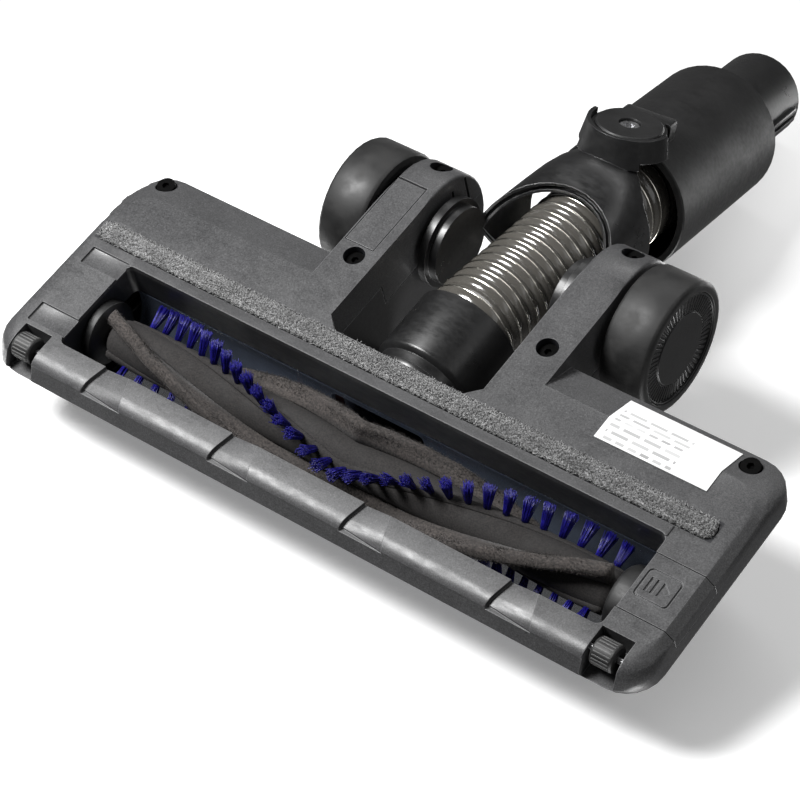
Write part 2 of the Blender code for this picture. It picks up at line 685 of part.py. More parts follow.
def pivot_screw(down):
    word = "lower" if down else "upper"
    lift = 32.0 if down else 29.4
    profile = [
        (0, lift - 0.9), (3.4, lift - 0.9), (3.5, lift - 1.1), (3.5, lift - 2.3), (2.0, lift - 2.3),
        (2.0, 19.0), (0, 19.0),
    ]
    screw = turned(f"pivot_screw_{word}", profile, frame=facing(CONNECTOR, down), sides=24)
    cut(screw, rod(f"pivot_drive_{word}", 1.9, lift - 1.9, lift, frame=facing(CONNECTOR, down), sides=6))
    return screw


def connector_spigot():
    """Tube end that plugs into the vacuum's wand, with a keying rib along one side."""
    wall = [
        (13.8, SPIGOT_END), (15.4, SPIGOT_END), (SPIGOT_R, SPIGOT_END - 0.6), (SPIGOT_R, 27.2), (13.8, 27.2),
    ]
    spigot = turned("connector_spigot", wall, "Y", frame=CONNECTOR, sides=36)
    rib_low, rib_high = (-17.4, SLEEVE_BACK + 0.6, -2.6), (-14.6, SPIGOT_END - 6.0, 2.6)
    rib = block("keying_rib", rib_low, rib_high, frame=CONNECTOR, bevel=0.5)
    groove_low, groove_high = (-20.0, SLEEVE_BACK + 3.0, -0.9), (-16.4, SPIGOT_END, 0.9)
    groove = block("keying_groove", groove_low, groove_high, frame=CONNECTOR)
    cut(rib, groove)
    join(spigot, rib)
    return spigot


def contacts():
    """Plug-in power contacts carried inside the spigot."""
    holder = block("contact_block", (-6.0, 96.0, 8.4), (6.0, 113.0, 11.6), frame=CONNECTOR, bevel=0.4)
    made = [holder]
    for side, word in ((1, "left"), (-1, "right")):
        x = side * 3.0
        cut(holder, rod(f"contact_bore_{word}", 1.2, 100.0, 120.0, "Y", (x, 0, 10.0), CONNECTOR, sides=12))
        made.append(rod(f"contact_pin_{word}", 0.9, 100.4, 116.5, "Y", (x, 0, 10.0), CONNECTOR, sides=12))
    return made


# ---------------------------------------------------------------- wheels and rollers

def along_x(name, profile, side, centre, frame=HEAD, sides=36):
    """Turned piece about the X axis; profile heights grow away from the neck plane on that side."""
    return turned(name, [(radius, side * height) for radius, height in profile], "X", centre, frame, sides)


def wheel_pieces(side, word):
    centre = tuple(AXLE)
    tyre = [
        (HUB_R + GAP, WHEEL_OUT - 0.2), (21.0, WHEEL_OUT), (22.1, WHEEL_OUT - 0.5), (WHEEL_R, WHEEL_OUT - 1.4),
        (WHEEL_R, WHEEL_IN + 1.2), (21.8, WHEEL_IN), (HUB_R + GAP, WHEEL_IN),
    ]
    hub = [
        (0, WHEEL_OUT - 0.6), (12.4, WHEEL_OUT - 0.6), (12.6, WHEEL_OUT - 1.1), (18.4, WHEEL_OUT - 1.1),
        (18.5, WHEEL_OUT - 0.4), (HUB_R, WHEEL_OUT - 0.4), (HUB_R, WHEEL_IN + 0.6), (16.8, WHEEL_IN + 0.6),
        (16.8, WHEEL_OUT - 4.0), (6.0, WHEEL_OUT - 4.0), (6.0, WHEEL_IN + 0.6), (AXLE_R + GAP, WHEEL_IN + 0.6),
        (AXLE_R + GAP, WHEEL_OUT - 2.2), (0, WHEEL_OUT - 2.2),
    ]
    pieces = [
        along_x(f"wheel_tyre_{word}", tyre, side, centre),
        along_x(f"wheel_hub_{word}", hub, side, centre),
    ]
    low, high = sorted((AXLE.x + side * 37.2, AXLE.x + side * (WHEEL_OUT - 2.6)))
    pieces.append(rod(f"wheel_axle_{word}", AXLE_R, low, high, "X", (0, AXLE.y, AXLE.z), sides=24))
    return pieces


def bush(side, word):
    low, high = 29.7, 35.0
    profile = [(7.3, high), (9.0, high), (9.0, low), (7.3, low)]
    return along_x(f"trunnion_bush_{word}", profile, side, tuple(AXLE), sides=28)


def roller_pieces(word, side):
    middle = side * 110.75
    profile = [
        (1.3, 3.7), (3.9, 3.7), (4.4, 3.2), (4.4, -3.2), (3.9, -3.7), (1.3, -3.7),
    ]
    roller = turned(f"front_roller_{word}", profile, "X", (middle, -138.0, 4.4), sides=24)
    axle = rod(f"roller_axle_{word}", 1.0, middle - 6.6, middle + 6.6, "X", (0, -138.0, 4.4), sides=16)
    return [roller, axle]


# ---------------------------------------------------------------- brush roller and drive

def helix_strip(name, end_angle, inner, outer, foot, head):
    """A strip wound round the core; both halves lean away from the middle of the brush."""
    rings = []
    count = 38
    low, high = BRUSH_ENDS[0] + 1.5, BRUSH_ENDS[1] - 1.5
    half = (high - low) / 2
    for i in range(count + 1):
        x = low + (high - low) * i / count
        angle = math.radians(end_angle) - TWIST * (1 - abs(x - BRUSH_MID) / half)
        ring = []
        for radius, across in ((inner, -foot), (inner, foot), (outer, head), (outer, -head)):
            turn = angle + across / radius
            ring.append((x, BRUSH.y + radius * math.cos(turn), BRUSH.z + radius * math.sin(turn)))
        rings.append(ring)
    return loft(name, rings)


def brush_core():
    low, high = BRUSH_ENDS
    profile = [
        (0, high), (CORE_R - 1.5, high), (CORE_R - 0.4, high - 1.5), (CORE_R, high - 3.0),
        (CORE_R, low + 3.0), (CORE_R - 0.4, low + 1.5), (CORE_R - 1.5, low),
        (3.0, low), (3.0, low - 3.6), (0, low - 3.6),
    ]
    return turned("brush_core", profile, "X", tuple(BRUSH), sides=28)


def brush_bearings():
    """End cap with its bearing on the removable side, coupling with its bearing on the drive side."""
    cap = turned(
        "brush_end_cap",
        [
            (0, -104.2), (11.0, -104.2), (11.5, -103.7), (11.5, -100.0), (10.6, -98.6), (6.3, -98.6),
            (6.3, -102.4), (0, -102.4),
        ],
        "X", tuple(BRUSH), sides=28,
    )
    bearing = turned(
        "end_bearing", [(3.3, -98.8), (6.0, -98.8), (6.0, -102.1), (3.3, -102.1)],
        "X", tuple(BRUSH), sides=24,
    )
    coupling = turned(
        "drive_coupling",
        [(0, 105.9), (5.0, 105.9), (5.0, 101.8), (11.0, 101.8), (11.0, 99.0), (8.2, 97.0), (0, 96.6)],
        "X", tuple(BRUSH), sides=28,
    )
    ring = turned(
        "drive_bearing", [(5.3, 105.3), (7.3, 105.3), (7.3, 102.4), (5.3, 102.4)],
        "X", tuple(BRUSH), sides=24,
    )
    return [cap, bearing, coupling, ring]


def pulley(name, centre, radius, teeth):
    """Toothed pulley with a shallow groove per tooth."""
    outline = []
    for i in range(teeth):
        a = math.tau * i / teeth
        step = math.tau / teeth
        for share, depth in ((0.0, 0.0), (0.5, 0.0), (0.6, 0.6), (0.9, 0.6)):
            turn = a + step * share
            reach = radius - depth
            outline.append((centre.y + reach * math.cos(turn), centre.z + reach * math.sin(turn)))
    return flat(name, [outline], BELT_X[0], BELT_X[1], axis="X")


def belt():
    """Flat loop around both pulleys: two arcs joined by the common tangents."""
    big, small = Vector((BRUSH.y, BRUSH.z)), Vector((MOTOR.y, MOTOR.z))
    line = small - big
    heading = math.degrees(math.atan2(line.y, line.x))
    lean = math.degrees(math.acos((BRUSH_PULLEY_R - MOTOR_PULLEY_R) / line.length))

    def loop(grow):
        first = arc(big, BRUSH_PULLEY_R + grow, heading + lean, heading + 360 - lean, 20)
        return first + arc(small, MOTOR_PULLEY_R + grow, heading - lean, heading + lean, 14)

    return flat("drive_belt", [loop(1.3), loop(GAP)], BELT_X[0] + 0.5, BELT_X[1] - 0.5, axis="X")


def motor_pieces():
    low, high = MOTOR_X
    can = turned(
        "brush_motor",
        [(0, high), (4.0, high), (4.0, high - 2), (MOTOR_R, high - 2.6), (MOTOR_R, low + 1), (11.0, low), (0, low)],
        "X", tuple(MOTOR), sides=28,
    )
    shaft = rod("motor_shaft", 1.5, high + GAP, BELT_X[0] - GAP, "X", MOTOR, sides=16)
    board = block("circuit_board", (-92.0, -84.0, 24.0), (-46.0, -62.0, 25.6))
    return [can, shaft, board]


def wire(name, points, radius=0.9):
    data = bpy.data.curves.new(name, "CURVE")
    data.dimensions = "3D"
    data.bevel_depth = radius * MM
    data.bevel_resolution = 1
    data.use_fill_caps = True
    spline = data.splines.new("POLY")
    smooth = []
    for i in range(len(points) - 1):
        around = [max(0, min(len(points) - 1, i + k)) for k in (-1, 0, 1, 2)]
        before, start, end, after = (Vector(points[k]) for k in around)
        smooth += [catmull(before, start, end, after, step / 3) for step in range(3)]
    smooth.append(Vector(points[-1]))
    spline.points.add(len(smooth) - 1)
    for point, place in zip(spline.points, smooth):
        point.co = (*(place * MM), 1)
    obj = bpy.data.objects.new(name, data)
    PARTS.objects.link(obj)
    return obj


def latch():
    """Slider that holds the brush's end cap: a slice of the sole's own form with a push mark."""
    slider = sole_block("latch_slider")
    outline = block("latch_keep", (-140, LATCH_Y[0] + GAP, 0), (TROUGH[0] - GAP, LATCH_Y[1] - GAP, LATCH_TOP))
    combine(slider, "INTERSECT", outline)
    join(slider, block("latch_tab", (-109.5, -115.9, 7.0), (-108.3, -111.3, 12.4)))
    centre_x, centre_y = -111.9, -113.3
    outer = rounded_rectangle(centre_x - 5.8, centre_x + 5.8, centre_y - 5.3, centre_y + 5.3, 1.6, 4)
    inner = rounded_rectangle(centre_x - 5.2, centre_x + 5.2, centre_y - 4.7, centre_y + 4.7, 1.2, 4)
    depth = SOLE_Z + 0.45
    cut(slider, flat("mark_frame", [outer, inner], 1.0, depth))
    for i, x in enumerate((3.2, 1.2)):
        bar_low = (centre_x + x - 0.45, centre_y - 2.6, 1.0)
        bar_high = (centre_x + x + 0.45, centre_y + 2.6, depth)
        cut(slider, block(f"mark_bar_{i + 1}", bar_low, bar_high))
    arrow = [(centre_x - 0.6, centre_y - 2.6), (centre_x - 0.6, centre_y + 2.6), (centre_x - 4.0, centre_y)]
    cut(slider, flat("mark_arrow", [arrow], 1.0, depth))
    return slider


def latch_spring():
    turns, points_per_turn = 7, 8
    low, high, radius = -120.4, -110.2, 1.5
    points = []
    for i in range(turns * points_per_turn + 1):
        a = math.tau * i / points_per_turn
        x = low + (high - low) * i / (turns * points_per_turn)
        points.append((x, -113.6 + radius * math.cos(a), 10.8 + radius * math.sin(a)))
    data = bpy.data.curves.new("latch_spring", "CURVE")
    data.dimensions = "3D"
    data.bevel_depth = 0.3 * MM
    data.bevel_resolution = 0
    data.use_fill_caps = True
    spline = data.splines.new("POLY")
    spline.points.add(len(points) - 1)
    for point, place in zip(spline.points, points):
        point.co = (*(Vector(place) * MM), 1)
    obj = bpy.data.objects.new("latch_spring", data)
    PARTS.objects.link(obj)
    return obj


# ---------------------------------------------------------------- trim

def plush_strip():
    outline = rounded_rectangle(-115.9, 119.9, -92.3, -85.2, 3.5, 5)
    return flat("plush_strip", [outline], 0.7, SOLE_Z + 0.9)


def arm_panel():
    return block("arm_insert_panel", (35.75, -52.6, SOLE_Z), (46.65, -23.9, SOLE_Z + 1.2))


def rating_label():
    """Thin plate that folds with the sole's rear edge."""
    x0, x1 = -105.6, -66.0
    fold_y, rear_y = -69.9, -58.6
    rise = 6.0 / 13.5

    def line(offset):
        return [
            (-78.0, SOLE_Z - offset), (fold_y + 0.2 * offset, SOLE_Z - offset),
            (rear_y, SOLE_Z + (rear_y - fold_y) * rise - 1.09 * offset),
        ]

    outline = line(0.08) + line(0.33)[::-1]
    return flat("rating_label", [outline], x0, x1, axis="X")


def casing_screws():
    made = []
    for name, x, y, seat in screw_places():
        profile = [
            (0, seat - 2.6), (3.2, seat - 2.6), (3.2, seat - 0.2), (1.5, seat - 0.2),
            (1.5, seat + 6.0), (0, seat + 6.0),
        ]
        screw = turned(name, profile, "Z", (x, y, 0), sides=16)
        cut(screw, rod(f"{name}_drive", 1.3, seat - 4.0, seat - 1.4, centre=(x, y, 0), sides=6))
        made.append(screw)
    return made


# ---------------------------------------------------------------- assembly

def build():
    grey = material("casing_grey", (0.105, 0.108, 0.112), 0.52)
    dark = material("cover_dark", (0.05, 0.051, 0.054), 0.42)
    black = material("neck_black", (0.018, 0.018, 0.02), 0.45)
    smoked = material("smoked_clear", (0.22, 0.25, 0.3), 0.08, alpha=0.4)
    felt = material("felt_brown", (0.16, 0.14, 0.13), 0.95)
    blue = material("bristle_blue", (0.02, 0.015, 0.3), 0.6)
    pile = material("plush_grey", (0.3, 0.3, 0.31), 0.95)
    rubber = material("tyre_rubber", (0.02, 0.02, 0.021), 0.7)
    steel = material("axle_steel", (0.6, 0.6, 0.61), 0.3, metallic=1.0)
    clear = material("hose_clear", (0.62, 0.6, 0.55), 0.2, alpha=0.6)
    white = material("label_white", (0.85, 0.85, 0.84), 0.5)
    green = material("board_green", (0.03, 0.18, 0.08), 0.5)
    red = material("wire_red", (0.5, 0.02, 0.02), 0.4)
    brass = material("contact_brass", (0.75, 0.58, 0.25), 0.3, metallic=1.0)

    def give(shade, *pieces):
        for piece in pieces:
            piece.data.materials.clear()
            piece.data.materials.append(shade)

    give(grey, sole_plate(), latch(), arm_panel())
    give(dark, top_cover())
    give(smoked, hood_window(), intake_duct())
    give(black, duct_collar())
    give(clear, hose())
    give(pile, plush_strip())
    give(white, rating_label())
    give(steel, latch_spring(), *casing_screws())
    moving = {}
    moving["neck_tilt_axis"] = (AXLE, [neck_yoke()])
    swivel = [connector_sleeve(), connector_spigot(), *contacts()]
    screws = [pivot_screw(True), pivot_screw(False)]
    give(black, *moving["neck_tilt_axis"][1], *swivel[:2], swivel[2])
    give(brass, *swivel[3:])
    give(steel, *screws)
    moving["neck_swivel_axis"] = (PIVOT, swivel + screws)
    for side, word in ((1, "left"), (-1, "right")):
        tyre, hub, axle = wheel_pieces(side, word)
        give(rubber, tyre)
        give(black, hub, bush(side, word))
        give(steel, axle)
        moving[f"wheel_axis_{word}"] = (AXLE, [tyre, hub])
        roller, pin = roller_pieces(word, side)
        give(rubber, roller)
        give(steel, pin)
        moving[f"roller_axis_{word}"] = (Vector((side * 110.75, -138.0, 4.4)), [roller])
    core = brush_core()
    cap, end_ring, coupling, drive_ring = brush_bearings()
    fins, rows = [], []
    for number, end_angle in enumerate((-90, 90), start=1):
        fins.append(helix_strip(f"felt_fin_{number}", end_angle, STRIP_SEAT_R, FIN_R, 1.4, 2.6))
        rows.append(helix_strip(f"bristle_row_{number}", end_angle - 90, STRIP_SEAT_R, BRISTLE_R, 1.3, 2.2))
    big = pulley("brush_pulley", BRUSH, BRUSH_PULLEY_R, 22)
    small = pulley("motor_pulley", MOTOR, MOTOR_PULLEY_R, 12)
    motor, shaft, board = motor_pieces()
    give(black, core, cap, coupling, big, small)
    give(felt, *fins)
    give(blue, *rows)
    give(steel, end_ring, drive_ring, motor, shaft)
    give(rubber, belt())
    give(green, board)
    red_route = [
        (-60, -74, 27.2), (-46, -82, 33), (-37, -91.5, 35.5), (-10, -94, 37), (25, -94, 37), (41, -91.5, 35.5),
        (49, -84, 32), (52.6, -78, 27.5),
    ]
    black_route = [
        (-60, -70, 27.2), (-48, -79, 34), (-38, -91, 38), (-10, -93.2, 39.6), (25, -93.2, 39.6), (42, -91, 38),
        (49, -80, 34), (52.6, -72, 30),
    ]
    give(red, wire("power_wire_red", red_route))
    give(rubber, wire("power_wire_black", black_route))
    moving["brush_axis"] = (BRUSH, [core, *fins, *rows, coupling, big])
    moving["motor_axis"] = (MOTOR, [small, shaft])
    for name, (place, pieces) in moving.items():
        axis = bpy.data.objects.new(name, None)
        axis.location = place * MM
        PARTS.objects.link(axis)
        bpy.context.view_layer.update()
        for piece in pieces:
            piece.parent = axis
            piece.matrix_parent_inverse = axis.matrix_world.inverted()


clear_scene()
PARTS = collection("brush_floor_head")
TOOLS = collection("cutters")
build()
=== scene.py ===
import json
import math

import bpy
import numpy as np
from mathutils import Matrix, Vector


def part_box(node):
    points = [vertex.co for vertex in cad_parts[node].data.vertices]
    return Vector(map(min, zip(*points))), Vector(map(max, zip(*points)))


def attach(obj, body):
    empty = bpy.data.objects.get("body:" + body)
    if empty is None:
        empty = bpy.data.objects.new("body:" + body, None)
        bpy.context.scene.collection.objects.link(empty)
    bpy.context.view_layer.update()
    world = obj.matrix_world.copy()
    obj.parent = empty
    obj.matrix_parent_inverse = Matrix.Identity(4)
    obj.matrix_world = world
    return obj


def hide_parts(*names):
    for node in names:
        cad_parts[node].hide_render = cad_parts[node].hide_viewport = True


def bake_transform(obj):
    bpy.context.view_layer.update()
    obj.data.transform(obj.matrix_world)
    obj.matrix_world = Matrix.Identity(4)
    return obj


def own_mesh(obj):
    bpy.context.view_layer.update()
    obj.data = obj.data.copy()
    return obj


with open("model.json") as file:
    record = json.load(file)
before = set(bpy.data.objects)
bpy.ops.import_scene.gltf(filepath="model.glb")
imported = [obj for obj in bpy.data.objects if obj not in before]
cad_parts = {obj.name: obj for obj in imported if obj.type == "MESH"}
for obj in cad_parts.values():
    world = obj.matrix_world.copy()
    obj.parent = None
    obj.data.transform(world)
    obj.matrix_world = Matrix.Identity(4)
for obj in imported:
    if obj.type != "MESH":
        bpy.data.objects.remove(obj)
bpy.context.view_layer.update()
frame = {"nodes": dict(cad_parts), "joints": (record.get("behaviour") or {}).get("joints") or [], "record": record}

MM = 0.001
NODES = frame["nodes"]
RECORD = frame["record"]
random = np.random.default_rng(7)

for startup in ("Cube", "Camera", "Light"):
    if startup in bpy.data.objects:
        bpy.data.objects.remove(bpy.data.objects[startup])


# ---------------------------------------------------------------- reference places, millimetres

def box_mm(node):
    low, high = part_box(node)
    return np.array(low) / MM, np.array(high) / MM


def centre_mm(node):
    low, high = box_mm(node)
    return (low + high) / 2


JOINTS = {joint["name"]: joint for joint in frame["joints"]}
MOUNTS = {mount["name"]: mount for mount in RECORD["mounts"]}
AXLE = np.array(JOINTS["neck_tilt"]["pos_m"]) / MM
PIVOT = np.array(JOINTS["neck_swivel"]["pos_m"]) / MM
TUBE_END = np.array(MOUNTS["wand_spigot"]["pos_m"]) / MM
TUBE = (TUBE_END - PIVOT) / np.linalg.norm(TUBE_END - PIVOT)
NECK_X = AXLE[0]
BRUSH = centre_mm("brush_core")
FIN_BOX = box_mm("felt_fin_1")
BRUSH_LOW, BRUSH_HIGH = FIN_BOX[0][0], FIN_BOX[1][0]
BRUSH_MIDDLE = -0.5        # where the two hands of the brush's chevrons meet
TWIST = math.radians(150.0)
FIN_ANGLES = (-90.0, 90.0)
ROW_ANGLES = (-180.0, 0.0)
SMOOTH_UNDER = math.radians(38)

WHITE = (1.0, 1.0, 1.0)
TROUGH_HALF = 17.95        # half the brush trough's size along Y
TROUGH_ENDS = (9.0, 8.2)   # the trough runs on past the felt at its low and its high X end
SCREW_HOLE_R = 3.66
PILE_SHADOW_WIDTH = 0.35                # width of the painted shadow line round the plush strip


# ---------------------------------------------------------------- materials

def make(tree, kind, inputs=None, **settings):
    """A node with its settings and inputs; an input is a number, a colour or another node's socket."""
    node = tree.nodes.new(kind)
    for key, value in settings.items():
        setattr(node, key, value)
    for key, value in (inputs or {}).items():
        if isinstance(value, bpy.types.NodeSocket):
            tree.links.new(value, node.inputs[key])
        else:
            node.inputs[key].default_value = value
    return node


def grey(value, tint=WHITE):
    """An opaque colour of one brightness, tinted."""
    return tuple(value * share for share in tint) + (1.0,)


def ramp(tree, factor, low, high, start, end):
    """A value between low and high as factor runs from start to end."""
    return make(
        tree, "ShaderNodeMapRange",
        {0: factor, 1: start, 2: end, 3: low, 4: high}, clamp=True,
    ).outputs[0]


def blend_colour(tree, factor, first, second):
    """First where the factor is 0, second where it is 1."""
    node = make(tree, "ShaderNodeMix", {0: factor, 6: first, 7: second}, data_type="RGBA")
    return node.outputs[2]


def math_node(tree, operation, first, second):
    return make(tree, "ShaderNodeMath", {0: first, 1: second}, operation=operation).outputs[0]


def multiply(tree, first, second):
    return math_node(tree, "MULTIPLY", first, second)


def noise(tree, place, size_mm, detail=2.0, stretch=None):
    """Noise whose features are about size_mm across."""
    if stretch:
        place = make(tree, "ShaderNodeMapping", {"Vector": place, "Scale": stretch}).outputs[0]
    return make(
        tree, "ShaderNodeTexNoise",
        {"Vector": place, "Scale": 1.0 / (size_mm * MM), "Detail": detail, "Roughness": 0.55},
    ).outputs[0]


def new_look(name):
    """(material, its tree, its shader, the object coordinates)."""
    look = bpy.data.materials.new(name)
    look.use_nodes = True
    tree = look.node_tree
    place = make(tree, "ShaderNodeTexCoord").outputs["Object"]
    return look, tree, tree.nodes["Principled BSDF"], place


FLECK_MM = 0.42
# colour of the painted shade in the brush trough, the screw holes and round the plush strip
PAINTED_SHADE = grey(0.012, (1.0, 1.05, 1.25))


def edge_parts(tree, radius_mm):
    """(rounded normal, mask that is 1 on sharp edges) from a small rounding of the mesh."""
    rounded = make(tree, "ShaderNodeBevel", {"Radius": radius_mm * MM}, samples=4).outputs[0]
    plain = make(tree, "ShaderNodeNewGeometry").outputs["Normal"]
    both = {0: rounded, 1: plain}
    dot = make(tree, "ShaderNodeVectorMath", both, operation="DOT_PRODUCT").outputs["Value"]
    return rounded, ramp(tree, dot, 0.0, 1.0, 0.995, 0.86)


def set_bump(tree, shader, strength, distance_mm, height, normal=None):
    """Drives the shader's normal by a height, on top of a given normal if there is one."""
    inputs = {"Strength": strength, "Distance": distance_mm * MM, "Height": height}
    if normal is not None:
        inputs["Normal"] = normal
    bumps = make(tree, "ShaderNodeBump", inputs)
    tree.links.new(bumps.outputs[0], shader.inputs["Normal"])


def set_inputs(tree, shader, colour, roughness):
    tree.links.new(colour, shader.inputs["Base Color"])
    tree.links.new(roughness, shader.inputs["Roughness"])


def moulded(name, shade, edge_wear_and_highlight, roughness, grain_mm=0.35, grain=0.25, bump=0.12, round_mm=0.35,
            tint=(1.0, 1.0, 1.03), flecks=0.0, patches=0.12, shade_painted=False):
    """Moulded plastic: fine grain, cloudy patches, small rubbed marks and paler edges, partly wear and partly a
    painted highlight.

    When asked, it paints shade inside the brush trough, the screw holes and round the plush strip.
    """
    look, tree, shader, place = new_look(name)
    fine = noise(tree, place, grain_mm, 3.0)
    cloud = noise(tree, place, 14.0, 2.0)
    rub = noise(tree, place, 1.6, 4.0, stretch=(0.35, 1.0, 1.0))
    level = ramp(tree, fine, 1.0 - grain, 1.0 + grain, 0.3, 0.7)
    level = multiply(tree, level, ramp(tree, cloud, 1.0 - patches, 1.0 + patches, 0.3, 0.7))
    share = ramp(tree, level, 0.0, 1.0, 0.5, 1.5)
    colour = blend_colour(tree, share, grey(shade * 0.5, tint), grey(shade * 1.5, tint))
    if flecks:
        cells = make(tree, "ShaderNodeTexVoronoi", {"Vector": place, "Scale": 1.0 / (FLECK_MM * MM)})
        bright = ramp(tree, cells.outputs["Color"], 0.0, flecks, 0.72, 0.98)
        colour = blend_colour(tree, bright, colour, grey(shade * 3.2, tint))
    rounded, edge = edge_parts(tree, round_mm)
    # paler edges: partly wear, partly a painted highlight along the edges
    colour = blend_colour(tree, multiply(tree, edge, 0.75), colour, grey(edge_wear_and_highlight, tint))
    # painted shade: dark inside the brush trough, the screw holes and round the plush strip
    if shade_painted:
        colour = blend_colour(tree, painted_shade_mask(tree, place), colour, PAINTED_SHADE)
    cloudy = ramp(tree, cloud, roughness - 0.05, roughness + 0.05, 0.35, 0.65)
    rubbed = ramp(tree, rub, -0.06, 0.05, 0.35, 0.65)
    set_inputs(tree, shader, colour, math_node(tree, "ADD", cloudy, rubbed))
    set_bump(tree, shader, bump, 0.06, fine, rounded)
    return look


def box_mask(tree, split, low, high):
    """1 inside a box seen from above, given by its corners in millimetres, 0 outside it."""
    mask = 1.0
    soft = 0.1 * MM
    for axis in (0, 1):
        start, end = low[axis] * MM, high[axis] * MM
        above = ramp(tree, split[axis], 0.0, 1.0, start - soft, start)
        below = ramp(tree, split[axis], 1.0, 0.0, end, end + soft)
        mask = multiply(tree, multiply(tree, above, below), mask)
    return mask


def is_casing_screw(name):
    return "_screw_" in name and not name.startswith("pivot")


def painted_shade_mask(tree, place):
    """Painted shade: 1 on the walls of the brush trough, of the screw holes and round the plush strip, else 0."""
    split = make(tree, "ShaderNodeSeparateXYZ", {0: place}).outputs
    pile = box_mm("plush_strip")
    trough_low = (BRUSH_LOW - TROUGH_ENDS[0], BRUSH[1] - TROUGH_HALF)
    trough_high = (BRUSH_HIGH + TROUGH_ENDS[1], BRUSH[1] + TROUGH_HALF)
    trough = box_mask(tree, split, trough_low, trough_high)
    mask = multiply(tree, trough, ramp(tree, split[2], 0.0, 1.0, 3.6 * MM, 4.0 * MM))
    # painted shadow line round the raised plush strip
    pile_shadow = box_mask(tree, split, pile[0][:2] - PILE_SHADOW_WIDTH, pile[1][:2] + PILE_SHADOW_WIDTH)
    mask = math_node(tree, "MAXIMUM", mask, multiply(tree, pile_shadow, 0.9))
    flat_place = make(tree, "ShaderNodeCombineXYZ", {0: split[0], 1: split[1]}).outputs[0]
    for name in filter(is_casing_screw, NODES):
        middle = centre_mm(name) * MM
        ends = {0: flat_place, 1: (middle[0], middle[1], 0.0)}
        away = make(tree, "ShaderNodeVectorMath", ends, operation="DISTANCE").outputs["Value"]
        hole = ramp(tree, away, 1.0, 0.0, SCREW_HOLE_R * MM, (SCREW_HOLE_R + 0.09) * MM)
        mask = math_node(tree, "MAXIMUM", mask, hole)
    return mask


def rubber(name, shade=0.0085, roughness=0.55):
    """Soft black rubber with pale dust and worn edges."""
    look, tree, shader, place = new_look(name)
    fine = noise(tree, place, 0.3, 3.0)
    dust = noise(tree, place, 6.0, 4.0)
    dusty = ramp(tree, dust, 0.0, 0.6, 0.45, 0.75)
    colour = blend_colour(tree, dusty, grey(shade), grey(shade * 2.4, (1.0, 0.98, 0.95)))
    rounded, edge = edge_parts(tree, 0.4)
    colour = blend_colour(tree, multiply(tree, edge, 0.6), colour, grey(shade * 3.5))
    set_inputs(tree, shader, colour, ramp(tree, dust, roughness - 0.1, roughness + 0.12, 0.3, 0.7))
    set_bump(tree, shader, 0.25, 0.05, fine, rounded)
    return look


def fibre(name, dark, light, size_mm=0.7, roughness=0.9, sheen=0.3):
    """Short pile, felt or bristle: its colour changes from strand to strand."""
    look, tree, shader, place = new_look(name)
    strand = noise(tree, place, size_mm, 2.0)
    patch = noise(tree, place, 9.0, 2.0)
    share = ramp(tree, strand, 0.0, 1.0, 0.32, 0.68)
    share = multiply(tree, share, ramp(tree, patch, 0.65, 1.0, 0.3, 0.6))
    uneven = ramp(tree, patch, roughness - 0.08, roughness + 0.05, 0.3, 0.7)
    set_inputs(tree, shader, blend_colour(tree, share, dark, light), uneven)
    shader.inputs["Sheen Weight"].default_value = sheen
    shader.inputs["Sheen Roughness"].default_value = 0.5
    set_bump(tree, shader, 0.4, 0.1, strand)
    return look


def clear(name, colour, alpha, roughness, specular=0.5, bump=0.15):
    """Thin clear plastic with faint flow marks and dust."""
    look, tree, shader, place = new_look(name)
    flow = noise(tree, place, 5.0, 3.0, stretch=(0.4, 1.0, 1.0))
    dust = noise(tree, place, 0.5, 2.0)
    flowed = blend_colour(tree, flow, grey(0.75, colour), grey(1.0, colour))
    set_inputs(tree, shader, flowed, ramp(tree, dust, roughness, roughness + 0.12, 0.45, 0.8))
    tree.links.new(ramp(tree, flow, alpha - 0.06, alpha + 0.06, 0.3, 0.7), shader.inputs["Alpha"])
    shader.inputs["Specular IOR Level"].default_value = specular
    set_bump(tree, shader, bump, 0.1, flow)
    return look


def metal(name, colour, roughness):
    """Turned or drawn metal: fine lines along one direction and slight tarnish."""
    look, tree, shader, place = new_look(name)
    lines = noise(tree, place, 0.25, 2.0, stretch=(0.15, 1.0, 1.0))
    tarnish = ramp(tree, noise(tree, place, 4.0, 3.0), 0.0, 0.5, 0.4, 0.8)
    uneven = ramp(tree, lines, roughness - 0.08, roughness + 0.12, 0.3, 0.7)
    set_inputs(tree, shader, blend_colour(tree, tarnish, grey(1.0, colour), grey(0.6, colour)), uneven)
    shader.inputs["Metallic"].default_value = 1.0
    rounded, _ = edge_parts(tree, 0.2)
    set_bump(tree, shader, 0.1, 0.03, lines, rounded)
    return look


